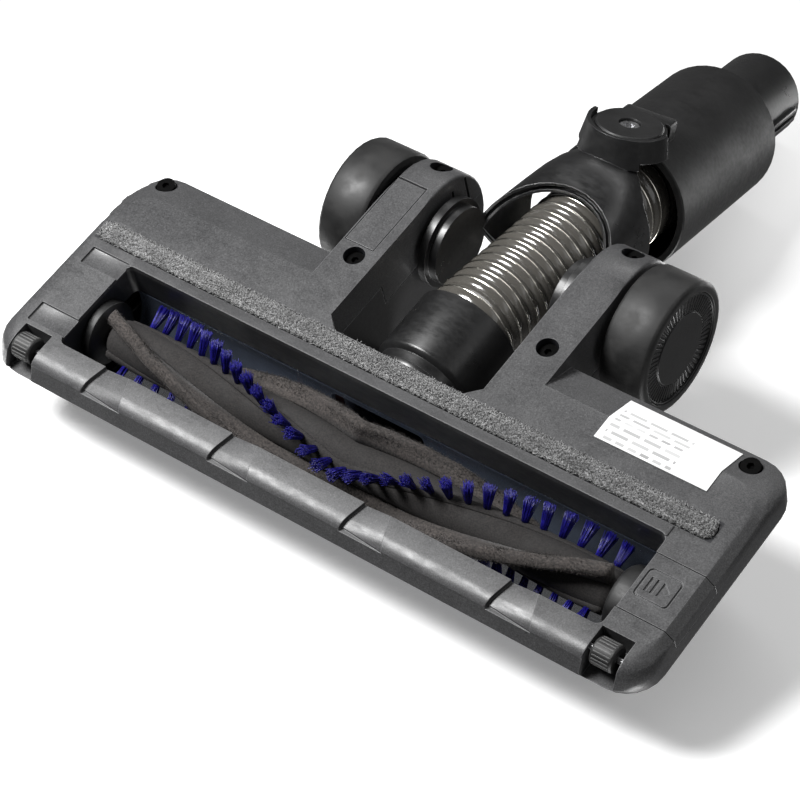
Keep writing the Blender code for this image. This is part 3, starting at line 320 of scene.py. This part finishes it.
def sticker(name):
    """White film with rows of plain grey dashes where a printed label has its lines."""
    look, tree, shader, place = new_look(name)
    low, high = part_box("rating_label")
    corner = tuple(-c for c in low)
    shift = make(tree, "ShaderNodeVectorMath", {0: place, 1: corner}, operation="ADD").outputs[0]
    dashes = {
        "Vector": shift, "Color1": grey(0.28), "Color2": grey(0.5), "Mortar": grey(0.74), "Scale": 1.0,
        "Mortar Size": 0.72 * MM, "Mortar Smooth": 0.05, "Brick Width": 7.3 * MM, "Row Height": 2.5 * MM,
    }
    rows = make(tree, "ShaderNodeTexBrick", dashes, offset=0.37, squash=0.6, squash_frequency=3)
    split = make(tree, "ShaderNodeSeparateXYZ", {0: shift}).outputs
    width, depth = high[0] - low[0], high[1] - low[1]
    inside = multiply(tree, ramp(tree, split[0], 0.0, 1.0, width - 1.6 * MM, width - 1.9 * MM),
                      ramp(tree, split[1], 0.0, 1.0, depth * 0.80, depth * 0.78))
    inside = multiply(tree, inside, ramp(tree, split[0], 0.0, 1.0, 13.0 * MM, 13.3 * MM))
    paper = noise(tree, place, 3.0, 3.0)
    plain = blend_colour(tree, paper, grey(0.66), grey(0.78))
    printed = blend_colour(tree, inside, plain, rows.outputs[0])
    set_inputs(tree, shader, printed, ramp(tree, paper, 0.32, 0.48, 0.3, 0.7))
    return look


def circuit(name):
    """Green board with paler tracks."""
    look, tree, shader, place = new_look(name)
    tracks = make(tree, "ShaderNodeTexBrick", {
        "Vector": place, "Color1": (0.01, 0.12, 0.05, 1), "Color2": (0.02, 0.16, 0.07, 1),
        "Mortar": (0.10, 0.32, 0.16, 1), "Scale": 1.0,
        "Mortar Size": 0.25 * MM, "Brick Width": 4.0 * MM, "Row Height": 1.6 * MM,
    })
    set_inputs(tree, shader, tracks.outputs[0], ramp(tree, noise(tree, place, 2.0), 0.3, 0.5, 0.3, 0.7))
    return look


CASING = {"shade": 0.048, "edge_wear_and_highlight": 0.20, "roughness": 0.42, "grain_mm": 0.4, "grain": 0.5,
          "bump": 0.5, "flecks": 0.3, "patches": 0.05}
LOOKS = {
    "casing_grey": moulded("casing grey", **CASING),
    # the pale edge colour of these plastics is partly wear and partly a painted highlight along their rims
    "cover_dark": moulded("cover dark", 0.035, 0.22, 0.40, grain_mm=0.4, grain=0.18, bump=0.15),
    "neck_black": moulded("neck black", 0.0075, 0.04, 0.36, grain_mm=0.4, grain=0.2, bump=0.12),
    "smoked_clear": clear("smoked clear", (0.055, 0.066, 0.09), 0.55, 0.10),
    "felt_brown": fibre("brown felt", (0.011, 0.0095, 0.009, 1), (0.068, 0.058, 0.053, 1), 0.6, sheen=0.05),
    "bristle_blue": fibre("blue bristle", (0.0015, 0.001, 0.035, 1), (0.014, 0.010, 0.30, 1), 0.45,
                          roughness=0.40, sheen=0.0),
    "plush_grey": fibre("grey plush", (0.04, 0.04, 0.04, 1), (0.40, 0.40, 0.40, 1), 0.5, sheen=0.15),
    "tyre_rubber": rubber("tyre rubber"),
    "axle_steel": metal("axle steel", (0.55, 0.55, 0.56), 0.28),
    "hose_clear": clear("hose film", (0.085, 0.080, 0.071), 0.90, 0.13, specular=0.9, bump=0.03),
    "label_white": sticker("label"),
    "board_green": circuit("circuit board"),
    "wire_red": moulded("wire red", 0.42, 0.6, 0.35, grain=0.08, tint=(1.0, 0.05, 0.06), bump=0.05),
    "contact_brass": metal("contact brass", (0.78, 0.58, 0.24), 0.25),
}
CORE_FELT = fibre("core felt", (0.006, 0.0055, 0.0055, 1), (0.024, 0.021, 0.02, 1), 0.5, sheen=0.0)
# near-black screw heads: painted shade that makes the screw holes read as deep and dark
SHADED_SCREW_STEEL = metal("screw steel", (0.006, 0.006, 0.006), 0.5)
SLEEVE_BLACK = moulded("sleeve black", 0.0045, 0.04, 0.50, grain_mm=0.45, grain=0.25, bump=0.2)
# the sole gets painted shade in its trough, its screw holes and round the plush strip
SOLE = moulded("sole grey", **CASING, shade_painted=True)
HOSE_WIRE = metal("hose wire", (0.80, 0.77, 0.70), 0.16)
OWN_LOOK = {
    "brush_core": CORE_FELT,
    "connector_sleeve": SLEEVE_BLACK,
    "brush_end_cap": SLEEVE_BLACK,
    "drive_coupling": SLEEVE_BLACK,
    "sole_plate": SOLE,
    **{name: SHADED_SCREW_STEEL for name in filter(is_casing_screw, NODES)},
}


# ---------------------------------------------------------------- CAD nodes: smooth shading and looks

def smoothing_group(angle):
    """Merges the split corners of each flat triangle and shades across edges under the angle."""
    group = bpy.data.node_groups.new("smooth under angle", "GeometryNodeTree")
    for way in ("INPUT", "OUTPUT"):
        group.interface.new_socket("Geometry", in_out=way, socket_type="NodeSocketGeometry")
    start = group.nodes.new("NodeGroupInput")
    split = {"Geometry": start.outputs[0], "Distance": 0.004 * MM}
    merged = make(group, "GeometryNodeMergeByDistance", split)
    shaded = {"Geometry": merged.outputs[0], "Shade Smooth": True}
    soft = make(group, "GeometryNodeSetShadeSmooth", shaded, domain="FACE")
    turn = make(group, "GeometryNodeInputMeshEdgeAngle").outputs["Unsigned Angle"]
    compared = {0: turn, 1: angle}
    gentle = make(group, "FunctionNodeCompare", compared, data_type="FLOAT", operation="LESS_THAN").outputs[0]
    creased = {"Geometry": soft.outputs[0], "Shade Smooth": gentle}
    edged = make(group, "GeometryNodeSetShadeSmooth", creased, domain="EDGE")
    end = group.nodes.new("NodeGroupOutput")
    group.links.new(edged.outputs[0], end.inputs[0])
    return group


SMOOTH = smoothing_group(SMOOTH_UNDER)
SLOT_OF = {part["node"]: part["material_slot"] for part in RECORD["subparts"]}
for name, node in NODES.items():
    look = OWN_LOOK.get(name, LOOKS[SLOT_OF[name]])
    node.data.materials.clear()
    node.data.materials.append(look)
    if "custom_normal" in node.data.attributes:
        node.data.attributes.remove(node.data.attributes["custom_normal"])
    step = node.modifiers.new("smooth", "NODES")
    step.node_group = SMOOTH


# ---------------------------------------------------------------- mesh pieces

def piece(name, points, faces, look, body, slot, stands_for=(), smooth=True):
    """A new piece from points in millimetres, riding on a body, or baked in place when given two."""
    mesh = bpy.data.meshes.new(name)
    mesh.from_pydata((np.asarray(points, float).reshape(-1, 3) * MM).tolist(), [], faces)
    mesh.update()
    if smooth:
        mesh.shade_smooth()
    mesh.materials.append(look)
    obj = bpy.data.objects.new(name, mesh)
    bpy.context.scene.collection.objects.link(obj)
    if isinstance(body, str):
        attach(obj, body)
    else:
        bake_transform(obj)
    if stands_for:
        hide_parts(*stands_for)
    return obj


def grid_faces(rows, columns, close_rows=False):
    """Quads of a tube whose rings are rows of columns points; the rows may close into a loop."""
    faces = []
    last = rows if close_rows else rows - 1
    for i in range(last):
        for j in range(columns):
            k = (j + 1) % columns
            low, high = i * columns, ((i + 1) % rows) * columns
            faces.append((low + j, low + k, high + k, high + j))
    return faces


def tube_faces(rows, columns):
    """Quads of a capped tube."""
    faces = grid_faces(rows, columns)
    faces.append(tuple(range(columns))[::-1])
    faces.append(tuple(range((rows - 1) * columns, rows * columns)))
    return faces


def strands(roots, tips, bend, thick, tip_share, steps):
    """(points, faces) of three-sided tapering strands that curve by bend towards their tips."""
    along = tips - roots
    along_unit = along / np.linalg.norm(along, axis=1)[:, None]
    helper = np.where(np.abs(along_unit[:, :1]) < 0.8, [[1.0, 0.0, 0.0]], [[0.0, 1.0, 0.0]])
    across = np.cross(along_unit, helper)
    across /= np.linalg.norm(across, axis=1)[:, None]
    other = np.cross(along_unit, across)
    turn = random.uniform(0, math.tau, len(roots))
    rings = []
    for s in range(steps + 1):
        t = s / steps
        centre = roots + along * t + bend * t * t
        radius = thick * (1 - (1 - tip_share) * t)
        for k in range(3):
            a = turn + math.tau * k / 3
            out = np.cos(a)[:, None] * across + np.sin(a)[:, None] * other
            rings.append(centre + radius[:, None] * out)
    per = 3 * (steps + 1)
    points = np.stack(rings, axis=1).reshape(-1, 3)
    local = []
    for s in range(0, 3 * steps, 3):
        for k, after in ((0, 1), (1, 2), (2, 0)):
            local.append((s + k, s + after, s + 3 + after, s + 3 + k))
    starts = (np.arange(len(roots)) * per)[:, None]
    quads = (starts[:, :, None] + np.array(local)[None]).reshape(-1, 4).tolist()
    ends = np.array([(2, 1, 0), (3 * steps, 3 * steps + 1, 3 * steps + 2)])
    caps = (starts[:, :, None] + ends[None]).reshape(-1, 3).tolist()
    return points, quads + caps


def together(*parts):
    """Joins (points, faces) lists into one."""
    points, faces, start = [], [], 0
    for some_points, some_faces in parts:
        points.append(np.asarray(some_points, float).reshape(-1, 3))
        faces += [tuple(start + i for i in face) for face in some_faces]
        start += len(points[-1])
    return np.concatenate(points), faces


# ---------------------------------------------------------------- brush roller

FELT_PROFILE = [
    (7.3, 1.5), (9.6, 1.5), (11.8, 1.9), (12.9, 2.3), (13.5, 1.5), (13.6, 0.0), (13.5, -1.5),
    (12.8, -2.4), (11.6, -2.1), (9.6, -1.6), (7.3, -1.5),
]  # (radius, sideways offset) round one felt strip
FUZZ_COUNT = 15000
BED_PROFILE = [(6.9, 1.9), (7.4, 1.7), (7.8, 0.9), (7.9, 0.0), (7.8, -0.9), (7.4, -1.7), (6.9, -1.9)]
TUFT_PITCH = 5.9
BRISTLES_PER_TUFT = 105
TUFT_ROOT_R = 7.4
TUFT_TIP_R = 15.75


def helix_angle(x, end_angle):
    """Angle of a strip at x: it twists one way up to the brush's middle and back after it."""
    half = (BRUSH_HIGH - BRUSH_LOW) / 2
    return math.radians(end_angle) - TWIST * (1 - np.abs(x - BRUSH_MIDDLE) / half)


def on_brush(x, angle, radius):
    """Points at an angle and radius round the brush axis."""
    x, angle, radius = np.broadcast_arrays(x, angle, radius)
    return np.stack([x, BRUSH[1] + radius * np.cos(angle), BRUSH[2] + radius * np.sin(angle)], axis=-1)


def helix_band(end_angle, profile, count, wave=0.0):
    """A band wound along the brush; profile holds (radius, sideways offset) pairs."""
    xs = np.linspace(BRUSH_LOW, BRUSH_HIGH, count)
    rings = []
    for x in xs:
        sway = wave * (math.sin(x / 6.1 + end_angle) + 0.6 * math.sin(x / 2.7 + 1.3 * end_angle))
        base = float(helix_angle(x, end_angle))
        for radius, side in profile:
            lift = (radius - profile[0][0]) / (profile[-1][0] + 5.0)
            angle = base + (side + sway * lift) / radius
            rings.append(on_brush(x, angle, radius + 0.3 * wave * lift * math.sin(x / 1.9)))
    return np.array(rings), tube_faces(count, len(profile))


def felt_fin(number, end_angle):
    """A wavy felt strip along a helix, with short fuzz on it."""
    band = helix_band(end_angle, FELT_PROFILE, 150, wave=0.5)
    count = FUZZ_COUNT
    xs = random.uniform(BRUSH_LOW + 0.3, BRUSH_HIGH - 0.3, count)
    pick = random.integers(1, len(FELT_PROFILE) - 2, count)
    share = random.uniform(0, 1, count)
    table = np.array(FELT_PROFILE)
    spot = table[pick] * (1 - share)[:, None] + table[pick + 1] * share[:, None]
    base = helix_angle(xs, end_angle)
    roots = on_brush(xs, base + spot[:, 1] / spot[:, 0], spot[:, 0] - 0.1)
    out = on_brush(xs, base + spot[:, 1] * 1.25 / spot[:, 0], spot[:, 0] + 0.45) - roots
    out /= np.linalg.norm(out, axis=1)[:, None]
    length = random.uniform(0.2, 0.55, count)[:, None]
    tips = roots + (out + random.normal(0, 0.55, (count, 3))) * length
    fuzz = strands(roots, tips, random.normal(0, 0.2, (count, 3)), np.full(count, 0.05), 0.4, 1)
    piece(f"felt_{number}", *together(band, fuzz), LOOKS["felt_brown"],
          "brush", "felt_brown", (f"felt_fin_{number}",))


def bristle_row(number, end_angle):
    """Tufts along a helix, each a fan of bristles set in a low felt bed."""
    bed = helix_band(end_angle, BED_PROFILE, 110)
    piece(f"bristle_bed_{number}", *bed, CORE_FELT, "brush", "felt_brown")
    per_tuft = BRISTLES_PER_TUFT
    first, last = BRUSH_LOW + 4.5, BRUSH_HIGH - 7.5
    tufts = np.linspace(first, last, int(round((last - first) / TUFT_PITCH)) + 1)
    roots, tips, bends, thick = [], [], [], []
    for x in tufts:
        disc = np.sqrt(random.uniform(0, 1, per_tuft))
        a = random.uniform(0, math.tau, per_tuft)
        dx, ds = disc * np.cos(a), disc * np.sin(a)
        lean = random.normal(0, 0.25, 2)
        root_x, root_s = x + 1.0 * dx, 0.9 * ds
        flare = random.uniform(0.85, 1.35, per_tuft)
        tip_x = x + 1.75 * dx * flare + lean[0] + random.normal(0, 0.12, per_tuft)
        tip_s = 1.75 * ds * flare + lean[1] + random.normal(0, 0.12, per_tuft)
        reach = TUFT_TIP_R + random.uniform(-0.55, 0.2, per_tuft)
        base = float(helix_angle(x, end_angle))
        roots.append(on_brush(root_x, base + root_s / TUFT_ROOT_R, TUFT_ROOT_R))
        tips.append(on_brush(tip_x, base + tip_s / 15.5, reach))
        bends.append(random.normal(0, 0.18, (per_tuft, 3)))
        thick.append(random.uniform(0.12, 0.17, per_tuft))
    points, faces = strands(*(np.concatenate(part) for part in (roots, tips, bends, thick)), 0.75, 3)
    piece(f"bristle_tufts_{number}", points, faces, LOOKS["bristle_blue"],
          "brush", "bristle_blue", (f"bristle_row_{number}",))


for number, angle in enumerate(FIN_ANGLES, 1):
    felt_fin(number, angle)
for number, angle in enumerate(ROW_ANGLES, 1):
    bristle_row(number, angle)


# ---------------------------------------------------------------- plush strip

PLUSH_CORNER_R = 3.4
PLUSH_COUNT = 32000


def rounded_outline(low, high, radius):
    """The outline of a box seen from above, with round corners."""
    outline = []
    corners = ((high[0], high[1], 0), (low[0], high[1], 90), (low[0], low[1], 180), (high[0], low[1], 270))
    for cx, cy, start in corners:
        middle = (cx - math.copysign(radius, cx), cy - math.copysign(radius, cy - (low[1] + high[1]) / 2))
        for k in range(7):
            a = math.radians(start + 15 * k)
            outline.append((middle[0] + radius * math.cos(a), middle[1] + radius * math.sin(a)))
    return np.array(outline)


def plush():
    """Short upright pile on a thin backing with rounded edges."""
    low, high = box_mm("plush_strip")
    radius = PLUSH_CORNER_R
    outline = rounded_outline(low, high, radius)
    centre = np.array([(low[0] + high[0]) / 2, (low[1] + high[1]) / 2])
    rings = []
    for inset, z in ((0.3, high[2]), (0.3, 2.3), (0.6, 1.75), (1.3, 1.45)):
        shrunk = centre + (outline - centre) * (1 - inset / np.abs(outline - centre).max(axis=0))
        rings.append(np.column_stack([shrunk, np.full(len(shrunk), z)]))
    slab = (np.concatenate(rings), tube_faces(len(rings), len(outline)))
    xs = random.uniform(low[0] + 0.5, high[0] - 0.5, PLUSH_COUNT)
    ys = random.uniform(low[1] + 0.3, high[1] - 0.3, PLUSH_COUNT)
    near_end = np.minimum(xs - low[0], high[0] - xs)
    round_end = np.sqrt(np.maximum(0.01, radius**2 - (radius - near_end) ** 2))
    half = np.where(near_end < radius, round_end, radius + 0.15)
    across = ys - centre[1]
    keep = np.abs(across) < half
    xs, ys, across = xs[keep], ys[keep], across[keep]
    count = len(xs)
    rim = np.clip(np.abs(across) / radius, 0, 1)
    roots = np.column_stack([xs, ys, 1.9 + 0.2 * rim])
    curl = 0.3 * np.sin(xs * 2.6 + ys * 2.4)
    tips = np.column_stack([
        xs + random.normal(0, 0.35, count) + curl,
        ys + random.normal(0, 0.35, count) + 0.55 * across / radius,
        0.62 + 1.0 * rim**2 + random.uniform(0, 0.35, count),
    ])
    pile = strands(roots, tips, random.normal(0, 0.12, (count, 3)), np.full(count, 0.12), 0.7, 1)
    piece("plush_pile", *together(slab, pile), LOOKS["plush_grey"], "head", "plush_grey", ("plush_strip",))


plush()


# ---------------------------------------------------------------- hose

HOSE_PITCH = 4.7
HOSE_SIDES = 48
FILM_R = 15.35        # the film's outside between its ribs
RIB_HEIGHT = 1.45
FILM_INSIDE_R = 15.0
WIRE_PATH_R = 16.5
WIRE_R = 0.5
WIRE_SIDES = 10
HOSE_POINTS = [
    (-65.2, 24.2), (-58.0, 24.2), (-49.5, 24.8), (-37.0, 27.8), (-16.4, 33.1), (6.0, 38.5),
]  # (y, z) of the centre line in the neck's middle plane, up to the swivel pivot


def hose_line():
    """Close-set points of the centre line and the length run up to each of them."""
    points = [np.array((NECK_X, y, z)) for y, z in HOSE_POINTS]
    points += [PIVOT, PIVOT + 13 * TUBE, PIVOT + 26 * TUBE]
    dense = []
    for i in range(len(points) - 1):
        a, b, c, d = (points[max(0, min(len(points) - 1, i + k))] for k in (-1, 0, 1, 2))
        square, cube = 2 * a - 5 * b + 4 * c - d, 3 * b - a - 3 * c + d
        for t in np.linspace(0, 1, 40, endpoint=False):
            dense.append(0.5 * (2 * b + (c - a) * t + square * t**2 + cube * t**3))
    dense = np.array(dense + [points[-1]])
    run = np.concatenate([[0], np.cumsum(np.linalg.norm(np.diff(dense, axis=0), axis=1))])
    return dense, run


HOSE_DENSE, HOSE_RUN = hose_line()


def on_hose(s):
    """The centre point a length s along the hose."""
    return np.array([np.interp(s, HOSE_RUN, HOSE_DENSE[:, k]) for k in range(3)])


def hose_frame(s):
    """(centre, across, up) a length s along the hose."""
    ahead = on_hose(s + 1.0) - on_hose(s - 1.0)
    ahead /= np.linalg.norm(ahead)
    across = np.cross(ahead, (0, 0, 1.0))
    across /= np.linalg.norm(across)
    return on_hose(s), across, np.cross(across, ahead)


def hose_film(start, end):
    """(points, faces) of a film whose ribs wind round it like a screw."""
    stations = np.arange(start, end + 0.01, HOSE_PITCH / 14)
    turns = np.arange(HOSE_SIDES) * math.tau / HOSE_SIDES
    outer, inner = [], []
    for s in stations:
        centre, across, up = hose_frame(s)
        phase = (s / HOSE_PITCH - turns / math.tau) % 1.0
        rib = np.sqrt(1.0 - 0.96 * (2.0 * phase - 1.0) ** 2)
        ring = np.cos(turns)[:, None] * across + np.sin(turns)[:, None] * up
        outer.append(centre + (FILM_R + RIB_HEIGHT * rib)[:, None] * ring)
        inner.append(centre + (FILM_INSIDE_R + 0.2 * rib)[:, None] * ring)
    return np.concatenate(outer + inner[::-1]), grid_faces(2 * len(stations), HOSE_SIDES, close_rows=True)


def hose_wire(start, end):
    """(points, faces) of the steel wire on the crest of the ribs."""
    steps = int((end - start) / HOSE_PITCH * 40)
    wire = []
    for s in np.linspace(start + 0.9, end - 0.9, steps):
        centre, across, up = hose_frame(s)
        a = math.tau * (s / HOSE_PITCH - 0.5)
        out = math.cos(a) * across + math.sin(a) * up
        ahead = np.cross(up, across)
        for k in range(WIRE_SIDES):
            b = math.tau * k / WIRE_SIDES
            wire.append(centre + (WIRE_PATH_R + WIRE_R * math.cos(b)) * out + WIRE_R * math.sin(b) * ahead)
    return np.array(wire), tube_faces(steps, WIRE_SIDES)


def hose_part(first_y, last_y, body, number):
    """Ribbed film and its wire between two stations along Y."""
    start, end = (float(np.interp(y, HOSE_DENSE[:, 1], HOSE_RUN)) for y in (first_y, last_y))
    film, wire = hose_film(start, end), hose_wire(start, end)
    piece(f"hose_film_{number}", *film, LOOKS["hose_clear"], body, "hose_clear", ("hose",))
    piece(f"hose_wire_{number}", *wire, HOSE_WIRE, body, "axle_steel")


# where each half of the hose starts and stops over the joint it crosses, in metres; the pieces are baked in place
# and do not bend with it
TILT_START, TILT_END = (NECK_X * MM, -0.050, 0.0248), (NECK_X * MM, 0.002, 0.0377)
SWIVEL_START, SWIVEL_END = tuple((PIVOT - 14 * TUBE) * MM), tuple((PIVOT + 12 * TUBE) * MM)
hose_part(-65.0, 8.0, ("head", "neck", TILT_START, TILT_END), 1)
hose_part(8.0, float((PIVOT + 25.5 * TUBE)[1]), ("neck", "connector", SWIVEL_START, SWIVEL_END), 2)


# ---------------------------------------------------------------- wheels and rollers

WHEEL_RIBS, WHEEL_RIB_INNER, WHEEL_RIB_OUTER = 60, 12.9, 18.2
WHEEL_GROOVE, WHEEL_CREST, WHEEL_RIB_BACK = 0.95, 0.42, 1.4  # depths below the wheel's rim
TREAD_RIBS = 22


def ribbed_disc(word, side):
    """Ring of fine radial ribs let into the outer face of a wheel."""
    low, high = box_mm(f"wheel_hub_{word}")
    face = high[0] if side > 0 else low[0]
    inner, outer, back = WHEEL_RIB_INNER, WHEEL_RIB_OUTER, WHEEL_RIB_BACK
    points = []
    for column in range(WHEEL_RIBS * 4):
        a = math.tau * (column // 4 + (0.0, 0.28, 0.42, 0.86)[column % 4]) / WHEEL_RIBS
        crest = WHEEL_CREST if column % 4 in (2, 3) else WHEEL_GROOVE
        for radius, sink in ((inner, crest), (outer, crest), (outer, back), (inner, back)):
            y, z = AXLE[1] + radius * math.cos(a), AXLE[2] + radius * math.sin(a)
            points.append((face - side * sink, y, z))
    faces = grid_faces(WHEEL_RIBS * 4, 4, close_rows=True)
    if side < 0:
        faces = [corners[::-1] for corners in faces]
    piece(f"wheel_ribs_{word}", points, faces, LOOKS["neck_black"],
          f"wheel_{word}", "neck_black", smooth=False)


def roller_tread(word):
    """Fine ribs round a front roller."""
    low, high = box_mm(f"front_roller_{word}")
    centre = (low + high) / 2
    outer = (high[1] - low[1]) / 2
    left, right, root = low[0] + 0.9, high[0] - 0.9, outer - 0.9
    points = []
    for column in range(TREAD_RIBS * 4):
        a = math.tau * (column // 4 + (0.0, 0.15, 0.5, 0.65)[column % 4]) / TREAD_RIBS
        crest = outer + (0.04 if column % 4 in (1, 2) else -0.32)
        for x, radius in ((left, crest), (right, crest), (right, root), (left, root)):
            points.append((x, centre[1] + radius * math.cos(a), centre[2] + radius * math.sin(a)))
    faces = grid_faces(TREAD_RIBS * 4, 4, close_rows=True)
    piece(f"roller_tread_{word}", points, faces, ROLLER, f"roller_{word}", "tyre_rubber", smooth=False)


ROLLER = rubber("roller rubber", 0.05, 0.5)
for word, side in (("left", 1), ("right", -1)):
    ribbed_disc(word, side)
    roller_tread(word)


# ---------------------------------------------------------------- latch spring

def spring():
    """Round-wire coil in the latch spring's place."""
    low, high = box_mm("latch_spring")
    centre = (low + high) / 2
    turns, radius, wire, sides = 7, 1.5, 0.3, 8
    along = np.array((1.0, 0.0, 0.0))
    points = []
    steps = turns * 24
    for i in range(steps + 1):
        a = math.tau * turns * i / steps
        out = np.array((0.0, math.cos(a), math.sin(a)))
        x = low[0] + wire + (high[0] - low[0] - 2 * wire) * i / steps
        middle = np.array((x, centre[1], centre[2])) + radius * out
        for k in range(sides):
            b = math.tau * k / sides
            points.append(middle + wire * (math.cos(b) * out + math.sin(b) * along))
    coil = piece("latch_coil", points, tube_faces(steps + 1, sides), LOOKS["axle_steel"],
                 "head", "axle_steel", ("latch_spring",))
    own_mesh(coil)


spring()


# ---------------------------------------------------------------- floor, light and camera

def one_sided(name, fade_mm, glow):
    """Pale matt surface that is seen from its front only and fades out to nothing."""
    look, tree, shader, place = new_look(name)
    haze = noise(tree, place, 60.0, 2.0)
    pale = blend_colour(tree, haze, grey(0.88), grey(0.92))
    set_inputs(tree, shader, pale, ramp(tree, haze, 0.75, 0.9, 0.3, 0.7))
    shader.inputs["Specular IOR Level"].default_value = 0.1
    shader.inputs["Emission Color"].default_value = (1, 1, 1, 1)
    shader.inputs["Emission Strength"].default_value = glow
    far = make(tree, "ShaderNodeVectorMath", {0: place}, operation="LENGTH").outputs["Value"]
    shown = ramp(tree, far, 1.0, 0.0, fade_mm[0] * MM, fade_mm[1] * MM)
    behind = make(tree, "ShaderNodeNewGeometry").outputs["Backfacing"]
    shown = multiply(tree, shown, math_node(tree, "SUBTRACT", 1.0, behind))
    tree.links.new(shown, shader.inputs["Alpha"])
    return look


def ground(name, half, matrix, look):
    """A square sheet that is only seen: it casts no shadow and sends no light back."""
    corners = [(-half, -half, 0), (half, -half, 0), (half, half, 0), (-half, half, 0)]
    mesh = bpy.data.meshes.new(name)
    mesh.from_pydata(corners, [], [tuple(range(len(corners)))])
    mesh.materials.append(look)
    obj = bpy.data.objects.new(name, mesh)
    obj.matrix_world = matrix
    bpy.context.scene.collection.objects.link(obj)
    obj.visible_shadow = False
    obj.visible_glossy = False
    obj.visible_diffuse = False
    obj.visible_transmission = False


ground("floor", 2.5, Matrix.Identity(4), one_sided("studio floor", (900, 2300), 0.25))
# The second sheet faces down and lies against the cover's top, tilted as the head rests on its back.
REST_TILT = math.radians(16.0)
FACE_DOWN = Matrix.Rotation(math.pi, 4, "X")
SHEET = Matrix.Translation((-0.02, -0.125, 0.0405)) @ Matrix.Rotation(REST_TILT, 4, "X") @ FACE_DOWN
ground("sheet", 0.5, SHEET, one_sided("studio sheet", (150, 330), 0.2))

CAMERA_AXES = np.array([
    (-0.79677, 0.58531, 0.15025),
    (0.39891, 0.69621, -0.59679),
    (-0.45391, -0.41557, -0.78821),
])  # right, up and backward of the camera
camera = bpy.data.objects.new("camera", bpy.data.cameras.new("camera"))
bpy.context.scene.collection.objects.link(camera)
camera.data.sensor_width = 36.0
camera.data.lens = 127.97
pose = Matrix.Identity(4)
for column, direction in enumerate(CAMERA_AXES):
    for row in range(3):
        pose[row][column] = direction[row]
pose.translation = Vector((-0.3995, -0.4555, -0.6793))
camera.matrix_world = pose
bpy.context.scene.camera = camera


def softbox(name, place, aim, size, power):
    """A rectangular white light turned towards its aim."""
    data = bpy.data.lights.new(name, "AREA")
    data.shape = "RECTANGLE"
    data.size, data.size_y = size
    data.energy = power
    obj = bpy.data.objects.new(name, data)
    obj.location = place
    obj.rotation_mode = "QUATERNION"
    obj.rotation_quaternion = (Vector(aim) - Vector(place)).to_track_quat("-Z", "Y")
    bpy.context.scene.collection.objects.link(obj)
    obj.visible_camera = False


def from_camera(right, up, near):
    """A place given along the main camera's axes from the head, in metres."""
    return tuple(right * CAMERA_AXES[0] + up * CAMERA_AXES[1] + near * CAMERA_AXES[2])


softbox("key_below", from_camera(-0.52, 0.42, 0.46), (0.06, -0.06, 0.0), (0.3, 0.3), 13.0)
softbox("fill_below", from_camera(0.6, 0.1, 0.55), (0.0, -0.02, 0.0), (0.7, 0.5), 0.9)
softbox("rim_below", from_camera(0.25, 0.75, 0.1), (0.0, 0.02, 0.03), (0.8, 0.2), 2.2)
softbox("key_above", (-0.7, -0.8, 1.3), (0.0, 0.0, 0.03), (0.9, 0.9), 26.0)
softbox("fill_above", (1.1, -0.3, 0.9), (0.0, 0.0, 0.03), (0.8, 0.8), 12.0)
softbox("back_above", (0.1, 1.3, 0.9), (0.0, 0.0, 0.03), (1.2, 0.5), 12.0)

WORLD_LIGHT, WORLD_SEEN = 0.13, 1.05  # strength as a light, and as the backdrop
world = bpy.data.worlds.new("studio")
world.use_nodes = True
bpy.context.scene.world = world
tree = world.node_tree
background = tree.nodes["Background"]
background.inputs["Color"].default_value = (1.0, 1.0, 1.0, 1.0)
seen = make(tree, "ShaderNodeLightPath").outputs["Is Camera Ray"]
tree.links.new(ramp(tree, seen, WORLD_LIGHT, WORLD_SEEN, 0.0, 1.0), background.inputs["Strength"])
bpy.context.scene.view_settings.view_transform = "Standard"
